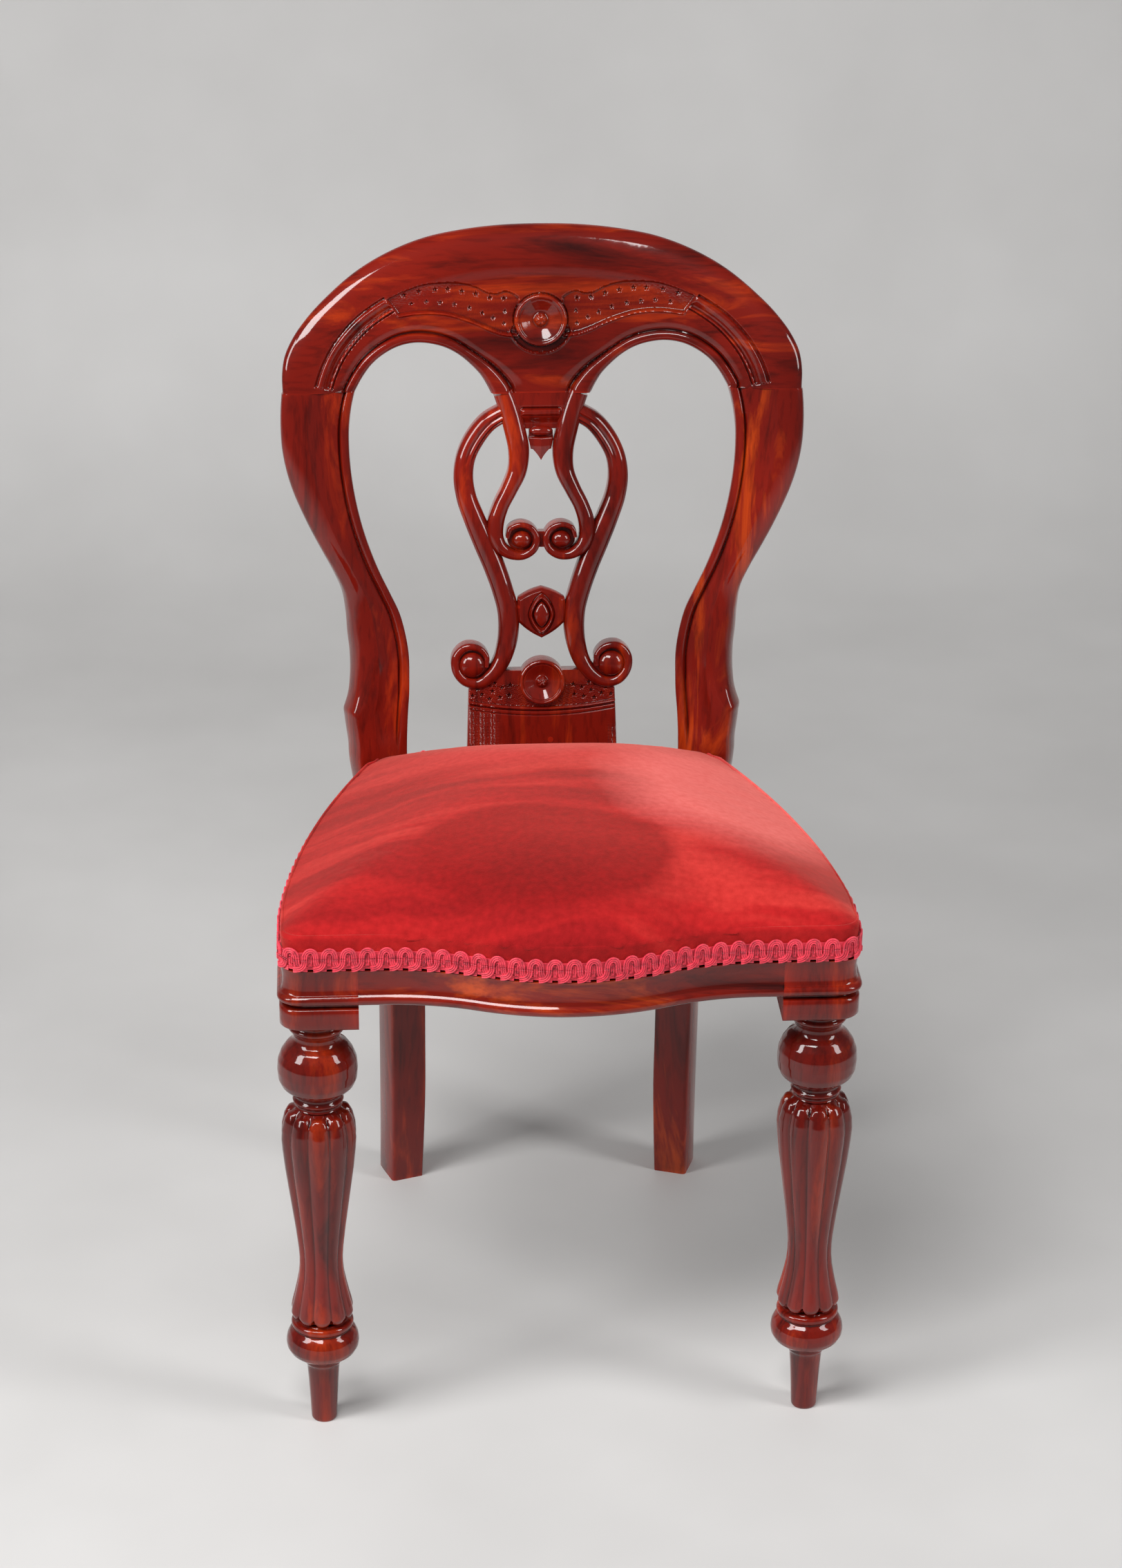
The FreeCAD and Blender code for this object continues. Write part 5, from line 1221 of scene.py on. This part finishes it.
def skirt():
    """The velvet's edge turned down over the rails: a thin closed band that ends inside the crown."""
    section = []
    for inset, z in (
        (0.0026, -0.0172), (0.0026, -0.0165), (0.0026, -0.0080), (0.0024, 0.0020), (0.0020, 0.0060),
        (0.0024, 0.0090), (0.0048, 0.0110), (0.0060, 0.0080), (0.0048, 0.0020), (0.0044, -0.0020),
        (0.0044, -0.0165), (0.0040, -0.0172),
    ):
        edge = seat_outline(inset, 400)
        section.append(seat_point(edge[:, 0], edge[:, 1] - SEAT_START, np.full(len(edge), z)))
    return skin(np.stack(section, axis=1), along=True)


def plain_mesh(name, part):
    """A mesh of one closed part, its faces turned outwards."""
    vertices, faces = outward(part)
    mesh = bpy.data.meshes.new(name)
    mesh.from_pydata(vertices.tolist(), [], [face for block in faces for face in block.tolist()])
    mesh.update()
    return mesh


def blown_up(mesh, low):
    """The mesh as even cloth, held near its foot and blown up by pressure, each point's move capped."""
    scene = bpy.context.scene
    pad = bpy.data.objects.new("seat_pad", mesh)
    scene.collection.objects.link(pad)
    even = pad.modifiers.new("even", "REMESH")
    even.mode = "VOXEL"
    even.voxel_size = CLOTH_GRID
    smooth = pad.modifiers.new("smooth", "SMOOTH")
    smooth.iterations = 4
    made = bpy.data.meshes.new_from_object(pad.evaluated_get(bpy.context.evaluated_depsgraph_get()))
    pad.modifiers.clear()
    pad.data = made
    rest = np.empty(3 * len(made.vertices), np.float32)
    made.vertices.foreach_get("co", rest)
    rest = rest.reshape(-1, 3)
    above = rest[:, 2] - (RAIL_TOP - fall(rest[:, 1])) - low
    held = pad.vertex_groups.new(name="held")
    weight = np.clip(1 - above / CLOTH_HELD, 0, 1)
    for index in np.nonzero(weight > 0)[0].tolist():
        held.add([index], float(weight[index]), "REPLACE")
    cloth = pad.modifiers.new("cloth", "CLOTH")
    cloth.settings.quality = 5
    cloth.settings.mass = 0.3
    cloth.settings.tension_stiffness = 15
    cloth.settings.compression_stiffness = 15
    cloth.settings.shear_stiffness = 8
    cloth.settings.bending_stiffness = 0.6
    cloth.settings.use_pressure = True
    cloth.settings.uniform_pressure_force = CLOTH_PRESSURE
    cloth.settings.vertex_group_mass = "held"
    cloth.settings.effector_weights.gravity = 0
    cloth.collision_settings.use_self_collision = False
    cloth.point_cache.frame_start = 1
    cloth.point_cache.frame_end = CLOTH_STEPS
    for frame in range(1, CLOTH_STEPS + 1):
        scene.frame_set(frame)
    blown = pad.evaluated_get(bpy.context.evaluated_depsgraph_get()).to_mesh()
    after = np.empty(3 * len(blown.vertices), np.float32)
    blown.vertices.foreach_get("co", after)
    move = after.reshape(-1, 3) - rest
    length = np.linalg.norm(move, axis=1)[:, None]
    move *= np.minimum(1, CLOTH_MOVE / np.maximum(length, 1e-9))
    pad.modifiers.clear()
    made.vertices.foreach_set("co", (rest + move).ravel())
    scene.frame_set(1)
    made.update()
    bpy.data.objects.remove(pad)
    return made


def velvet_seat(settings, finish):
    """The stuffed velvet seat: the crown's cloth and the turned-down edge as one piece."""
    pad = blown_up(plain_mesh("seat_dome", dome(settings)), SHEET_LOW)
    band = plain_mesh("seat_edge", skirt())
    joined = bmesh.new()
    joined.from_mesh(pad)
    joined.from_mesh(band)
    mesh = bpy.data.meshes.new("velvet_seat")
    joined.to_mesh(mesh)
    joined.free()
    mesh.polygons.foreach_set("use_smooth", np.full(len(mesh.polygons), True))
    mesh.materials.append(finish)
    item = bpy.data.objects.new("velvet_seat", mesh)
    bpy.context.scene.collection.objects.link(item)
    finer = item.modifiers.new("finer", "SUBSURF")
    finer.levels = 1
    finer.render_levels = 1
    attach(item, BODY)
    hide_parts("seat_cover", "seat_stuffing")
    return item


def gimp_path(count):
    """The braid's line round the front and both sides: how far along each point lies, the point and its
    outward side.
    """
    inset = 0.0024
    x = np.linspace(0, BOW_HALF, 60)
    turn = np.linspace(0, math.pi / 2, 16)
    along = np.linspace(0, 0.352, 60)
    wide = HALF_WIDTH - inset
    front = FRONT + inset
    half_x = np.concatenate([x, wide - SEAT_CORNER + SEAT_CORNER * np.sin(turn), side_at(along, inset)])
    turn_y = front + SEAT_CORNER - SEAT_CORNER * np.cos(turn)
    half_y = np.concatenate([front - bow_at(x), turn_y, SEAT_START + along])
    loop = np.concatenate(
        [np.stack([-half_x[::-1], half_y[::-1]], axis=1)[:-1], np.stack([half_x, half_y], axis=1)]
    )
    run = np.concatenate([[0.0], np.cumsum(np.linalg.norm(np.diff(loop, axis=0), axis=1))])
    even = np.linspace(0, run[-1], count)
    path = np.stack([np.interp(even, run, loop[:, axis]) for axis in (0, 1)], axis=1)
    forward = np.gradient(path, axis=0)
    forward /= np.linalg.norm(forward, axis=1)[:, None]
    side = np.stack([forward[:, 1], -forward[:, 0]], axis=1)
    return even, path, side


def yarn(line, radius, sides=7):
    """A round yarn along a line of points."""
    forward = np.gradient(line, axis=0)
    forward /= np.linalg.norm(forward, axis=1)[:, None]
    up = np.array([0.0, 0.0, 1.0])
    first = np.cross(forward, up)
    length = np.linalg.norm(first, axis=1)[:, None]
    first = np.where(length > 0.05, first / np.maximum(length, 1e-6), np.array([1.0, 0.0, 0.0]))
    second = np.cross(first, forward)
    angle = np.linspace(0, math.tau, sides, endpoint=False)
    points = (
        line[:, None]
        + radius * np.cos(angle)[None, :, None] * first[:, None]
        + radius * np.sin(angle)[None, :, None] * second[:, None]
    )
    return skin(points)


LOOP = [
    # One loop of the braid's cord from foot to foot: across and up from its lower edge, in millimetres
    (-13.6, 2.3), (-10.8, 2.5), (-8.0, 3.5), (-6.0, 5.6), (-5.0, 8.6), (-4.8, 12.4),
    (-4.3, 16.0), (-2.8, 18.6), (0.0, 19.7), (2.8, 18.6), (4.3, 16.0),
    (4.8, 12.4), (5.0, 8.6), (6.0, 5.6), (8.0, 3.5), (10.8, 2.5), (13.6, 2.3),
]
LOOP_PITCH = 0.0160


def braid(place, length, scale):
    """Looped cords side by side: three strands follow the loop's line, its left foot in front.

    Strand k lies at k * 1.72 mm to the side of the line. Between the legs stand two straight strands,
    and a thin ground carries all of them.
    """
    line = course(np.array(LOOP) / 1000, 40) * scale
    forward = np.gradient(line, axis=0)
    forward /= np.linalg.norm(forward, axis=1)[:, None]
    side = np.stack([-forward[:, 1], forward[:, 0]], axis=1)
    parts = []
    count = max(int(round(length / (LOOP_PITCH * scale))), 1)
    pitch = length / count
    stops = np.array([-0.0136, -0.006, 0.006, 0.0136]) * scale
    tilt = np.interp(line[:, 0], stops, [0.0010, 0.0004, 0.0, -0.0012])
    for number in range(count):
        centre = (number + 0.5) * pitch
        for strand in (-1, 0, 1):
            way = line + side * strand * 0.00172 * scale
            run = np.clip(centre + way[:, 0], 0.0004, length - 0.0004)
            parts.append(yarn(place(run, 0.0022 + tilt, way[:, 1]), 0.00084 * scale, 6))
        rise = np.linspace(0.0050, 0.0160, 7) * scale
        for aside in (-0.0011, 0.0011):
            bend = aside * scale * (1 - 0.3 * np.linspace(-1, 1, 7) ** 2)
            parts.append(yarn(place(centre + bend, np.full(7, 0.0013), rise), 0.0009 * scale, 6))
    run = np.linspace(0, length, max(int(length / 0.003), 12))
    section = ((0.0, 0.0016), (0.0009, 0.0016), (0.0009, 0.0175), (0.0, 0.0175))
    level = np.ones(len(run))
    ground = [place(run, out * level, z * scale * level) for out, z in section]
    parts.append(skin(np.stack(ground, axis=1)))
    return parts


def gimp_parts():
    """The braid round the front and both sides, its lower edge falling with the seat."""
    even, path, side = gimp_path(2400)

    def place(run, out, z):
        """Point = path(run) + side(run) * out, z over the braid's lower edge."""
        x = np.interp(run, even, path[:, 0]) + np.interp(run, even, side[:, 0]) * out
        y = np.interp(run, even, path[:, 1]) + np.interp(run, even, side[:, 1]) * out
        return np.stack([x, y, RAIL_TOP - 0.0182 + z - fall(y)], axis=-1)

    return braid(place, float(even[-1]), 1.0)


def back_gimp_parts():
    """The short run of narrower braid behind the seat, between the posts."""

    def place(run, out, z):
        """A point that far along the straight run, outward to the rear, and up."""
        return seat_point(0.118 - run, 0.3782 + out, z)

    return braid(place, 0.236, 0.54)


def webbing_parts():
    """Six strips that pass over and under each other: z = middle plus or minus half the step by a cosine."""
    rear = 0.372
    parts = []
    for number, x in enumerate((-0.115, 0.0, 0.115)):
        along = np.linspace(-0.052, rear, 80)
        z = 0.0014 + 0.0006 * (-1) ** number * np.cos(math.pi * (along - 0.060) / 0.105)
        ends = [(x - 0.025, -0.0005), (x + 0.025, -0.0005), (x + 0.025, 0.0005), (x - 0.025, 0.0005)]
        strip = [seat_point(np.full(80, edge), along, z + up) for edge, up in ends]
        parts.append(skin(np.stack(strip, axis=1)))
    for number, along in enumerate((0.060, 0.165, 0.270)):
        reach = float(frame_side_at(np.array(along + 0.025))) - 0.010
        x = np.linspace(-reach, reach, 80)
        z = 0.0014 - 0.0006 * (-1) ** number * np.cos(math.pi * (x + 0.115) / 0.115)
        near, far = along - 0.025, along + 0.025
        ends = [(near, -0.0005), (far, -0.0005), (far, 0.0005), (near, 0.0005)]
        strip = [seat_point(x, np.full(80, edge), z + up) for edge, up in ends]
        parts.append(skin(np.stack(strip, axis=1)))
    return parts


def plan_cloth(inset, front, rear, low, thick, notch):
    """A thin sheet cut to the seat's plan, narrowed behind the posts' fronts, with its flat area."""
    along = np.concatenate([np.linspace(front, 0.347, 60), [0.3472], np.linspace(0.350, rear, 8)])
    half = np.where(along > 0.3471, notch, frame_side_at(along, inset))
    t = np.linspace(-1, 1, 60)
    x = half[:, None] * t[None]
    y = np.repeat(along[:, None], 60, axis=1)
    slack = 0.00012 * np.sin(x * 70) * np.sin(y * 60)
    top = seat_point(x, y, low + thick + slack)
    under = seat_point(x[:, ::-1], y, low + slack[:, ::-1])
    area = float(np.sum((half[1:] + half[:-1]) * np.diff(along)))
    return skin(np.concatenate([top, under], axis=1)), area


# Settings and operators


class ChairSettings(bpy.types.PropertyGroup):
    wood_colour: bpy.props.FloatVectorProperty(
        name="Wood colour", description="Middle tone of the polish", subtype="COLOR", size=3, min=0, max=1,
        default=(0.150, 0.0054, 0.0018),
    )
    polish: bpy.props.FloatProperty(
        name="Polish", description="Strength of the clear top coat", default=1.0, min=0, max=1,
        subtype="FACTOR",
    )
    velvet_colour: bpy.props.FloatVectorProperty(
        name="Velvet colour", description="Colour of the standing pile", subtype="COLOR", size=3,
        min=0, max=1, default=(0.400, 0.0095, 0.0105),
    )
    braid_colour: bpy.props.FloatVectorProperty(
        name="Braid colour", description="Colour of the braid's yarn", subtype="COLOR", size=3, min=0, max=1,
        default=(0.820, 0.0350, 0.0700),
    )
    crown: bpy.props.FloatProperty(
        name="Crown", description="Height of the stuffed seat over its rails", default=0.054,
        min=0.01, max=0.08, subtype="DISTANCE", unit="LENGTH",
    )
    lens: bpy.props.FloatProperty(
        name="Lens", description="Focal length over a 36 mm high frame", default=88.5, min=20, max=200,
        unit="CAMERA",
    )


class CHAIR_OT_stage(bpy.types.Operator):
    """Make the pale floor, the soft lamps and the camera at the photograph's angle"""

    bl_idname = "chair.stage"
    bl_label = "Stage"

    def execute(self, context):
        settings = context.scene.chair_settings
        finish, tree, shader = material("pale_floor")
        place = tree.nodes.new("ShaderNodeTexCoord").outputs["Object"]
        noise = node(tree, "ShaderNodeTexNoise", {"Vector": place}, Scale=3.0, Detail=3.0)
        tone = ramp(tree, noise.outputs["Fac"], [(0.3, (0.55, 0.54, 0.53, 1)), (0.7, (0.61, 0.60, 0.59, 1))])
        tree.links.new(tone.outputs["Color"], shader.inputs["Base Color"])
        shader.inputs["Roughness"].default_value = 0.55
        run = np.array(BACKDROP)
        across = np.linspace(-4, 4, 3)
        points = np.stack(
            [np.stack([across, np.full(3, y), np.full(3, z)], axis=-1) for y, z in course(run, 60)]
        )
        vertices, faces = skin(points, around=False, caps=False)
        mesh = bpy.data.meshes.new("floor")
        mesh.from_pydata(vertices.tolist(), [], faces[0].tolist())
        for polygon in mesh.polygons:
            polygon.use_smooth = True
        mesh.materials.append(finish)
        floor = bpy.data.objects.new("floor", mesh)
        context.scene.collection.objects.link(floor)
        for name, spot, wide, tall, power in LAMPS:
            lamp = bpy.data.lights.new(name, "AREA")
            lamp.shape = "RECTANGLE"
            lamp.size = wide
            lamp.size_y = tall
            lamp.energy = power
            holder = bpy.data.objects.new(name, lamp)
            holder.location = spot
            way = np.array(LAMP_AIM) - np.array(spot)
            holder.rotation_euler = look_along(way, 0.0).to_euler()
            context.scene.collection.objects.link(holder)
        world = bpy.data.worlds.new("studio")
        world.use_nodes = True
        world.node_tree.nodes["Background"].inputs["Color"].default_value = (0.86, 0.88, 0.92, 1)
        world.node_tree.nodes["Background"].inputs["Strength"].default_value = 0.13
        context.scene.world = world
        camera = bpy.data.cameras.new("camera")
        camera.lens = settings.lens
        camera.sensor_fit = "VERTICAL"
        camera.sensor_height = 36
        camera.sensor_width = 36
        eye_point = bpy.data.objects.new("camera", camera)
        eye_point.location = CAMERA_PLACE
        level = math.cos(CAMERA_PITCH)
        way = np.array([-math.sin(CAMERA_YAW) * level, math.cos(CAMERA_YAW) * level, -math.sin(CAMERA_PITCH)])
        eye_point.rotation_euler = look_along(way, CAMERA_ROLL).to_euler()
        context.scene.collection.objects.link(eye_point)
        context.scene.camera = eye_point
        context.scene.view_settings.view_transform = "Standard"
        return {"FINISHED"}


def look_along(way, roll):
    """The turn that points an object's -Z along way, with its X level and then rolled."""
    way = Vector(way).normalized()
    right = way.cross(Vector((0, 0, 1))).normalized()
    up = right.cross(way)
    turned_right = math.cos(roll) * right + math.sin(roll) * up
    turned_up = -math.sin(roll) * right + math.cos(roll) * up
    return Matrix((turned_right, turned_up, -way)).transposed()


class CHAIR_OT_front_legs(bpy.types.Operator):
    """Turn and reed the front legs and mould their blocks"""

    bl_idname = "chair.front_legs"
    bl_label = "Front legs"

    def execute(self, context):
        finish = finishes(context.scene.chair_settings)["upright"]
        for side, name in ((1, "right"), (-1, "left")):
            parts = [turned_leg(), leg_block()]
            moved = []
            for vertices, faces in parts:
                vertices = vertices + np.array([LEG_X, LEG_Y, 0])
                moved.append(mirrored((vertices, faces)) if side < 0 else (vertices, faces))
            piece(f"turned_leg_{name}", moved, finish, [f"front_leg_{name}"])
        return {"FINISHED"}


class CHAIR_OT_back_posts(bpy.types.Operator):
    """Shape the rear legs and back posts"""

    bl_idname = "chair.back_posts"
    bl_label = "Back posts"

    def execute(self, context):
        made = finishes(context.scene.chair_settings)
        part = back_post()
        piece("hoop_post_right", [part], made["warm"], ["back_post_right"])
        piece("hoop_post_left", [mirrored(part)], made["upright"], ["back_post_left"])
        return {"FINISHED"}


class CHAIR_OT_crest(bpy.types.Operator):
    """Carve the crest rail"""

    bl_idname = "chair.crest"
    bl_label = "Crest rail"

    def execute(self, context):
        finish = finishes(context.scene.chair_settings)["across"]
        piece("carved_crest", [crest()], finish, ["crest_rail"])
        return {"FINISHED"}


class CHAIR_OT_splat(bpy.types.Operator):
    """Carve the pierced splat"""

    bl_idname = "chair.splat"
    bl_label = "Splat"

    def execute(self, context):
        finish = finishes(context.scene.chair_settings)["upright"]
        piece("carved_splat", splat_parts(), finish, ["splat"])
        finish_node("splat_plug", finish)
        return {"FINISHED"}


class CHAIR_OT_rails(bpy.types.Operator):
    """Mould the front and side rails and finish the hidden woodwork"""

    bl_idname = "chair.rails"
    bl_label = "Rails"

    def execute(self, context):
        made = finishes(context.scene.chair_settings)
        x = np.linspace(-0.1815, 0.1815, 160)
        path = np.stack([x, FRONT - bow_at(x)], axis=1)
        rail = moulded_rail(path, np.zeros(len(x)))
        piece("bowed_rail", [rail], made["amber"], ["front_rail"])
        along = np.linspace(0, 0.364, 80)
        path = np.stack([side_at(along), SEAT_START + along], axis=1)
        rail = moulded_rail(path, along * SEAT_FALL)
        piece("moulded_rail_right", [rail], made["upright"], ["side_rail_right"])
        piece("moulded_rail_left", [mirrored(rail)], made["upright"], ["side_rail_left"])
        finish_node("back_rail", made["across"])
        for name in ("front_left", "front_right", "rear_left", "rear_right"):
            finish_node(f"corner_block_{name}", made["bare"])
        finish_node("rail_dowels", made["bare"])
        finish_node("crest_dowels", made["bare"])
        finish_node("corner_block_screws", made["steel"])
        finish_node("splat_screw", made["steel"])
        return {"FINISHED"}


class CHAIR_OT_seat(bpy.types.Operator):
    """Web, stuff and cover the seat, and close it below"""

    bl_idname = "chair.seat"
    bl_label = "Seat"

    def execute(self, context):
        settings = context.scene.chair_settings
        made = finishes(settings)
        velvet_seat(settings, made["velvet"])
        web = piece("jute_webbing", webbing_parts(), made["web"], ["seat_webbing"])
        part, area = plan_cloth(0.009, -0.054, 0.372, 0.0027, 0.0008, 0.127)
        sheet = piece("hessian_sheet", [part], made["hessian"], ["seat_hessian"], flat=True)
        part, area = plan_cloth(0.010, 0.003, 0.372, -0.0523, 0.0006, 0.126)
        sheet = piece("black_dust_sheet", [part], made["black"], ["dust_cover"], flat=True)
        return {"FINISHED"}


class CHAIR_OT_braid(bpy.types.Operator):
    """Sew the braid round the seat"""

    bl_idname = "chair.braid"
    bl_label = "Braid"

    def execute(self, context):
        finish = finishes(context.scene.chair_settings)["yarn"]
        piece("looped_braid", gimp_parts(), finish, ["gimp_braid"])
        piece("looped_braid_back", back_gimp_parts(), finish, ["gimp_back"])
        return {"FINISHED"}


class CHAIR_PT_panel(bpy.types.Panel):
    """Lists the chair's pieces and settings"""

    bl_idname = "CHAIR_PT_panel"
    bl_label = "Balloon Back Chair"
    bl_space_type = "VIEW_3D"
    bl_region_type = "UI"
    bl_category = "Chair"

    def draw(self, context):
        settings = context.scene.chair_settings
        for name in ChairSettings.__annotations__:
            self.layout.prop(settings, name)
        for operator in OPERATORS:
            self.layout.operator(operator.bl_idname)


OPERATORS = (
    CHAIR_OT_stage,
    CHAIR_OT_front_legs,
    CHAIR_OT_back_posts,
    CHAIR_OT_crest,
    CHAIR_OT_splat,
    CHAIR_OT_rails,
    CHAIR_OT_seat,
    CHAIR_OT_braid,
)
CLASSES = (ChairSettings, *OPERATORS, CHAIR_PT_panel)


def register():
    """Register the classes and hang the settings on the scene."""
    for made in CLASSES:
        bpy.utils.register_class(made)
    bpy.types.Scene.chair_settings = bpy.props.PointerProperty(type=ChairSettings)


def unregister():
    """Take the settings off the scene and the classes out, last first."""
    del bpy.types.Scene.chair_settings
    for made in reversed(CLASSES):
        bpy.utils.unregister_class(made)


def main():
    """Build every piece in order."""
    register()
    for operator in OPERATORS:
        group, name = operator.bl_idname.split(".")
        getattr(getattr(bpy.ops, group), name)()


if __name__ == "__main__":
    main()
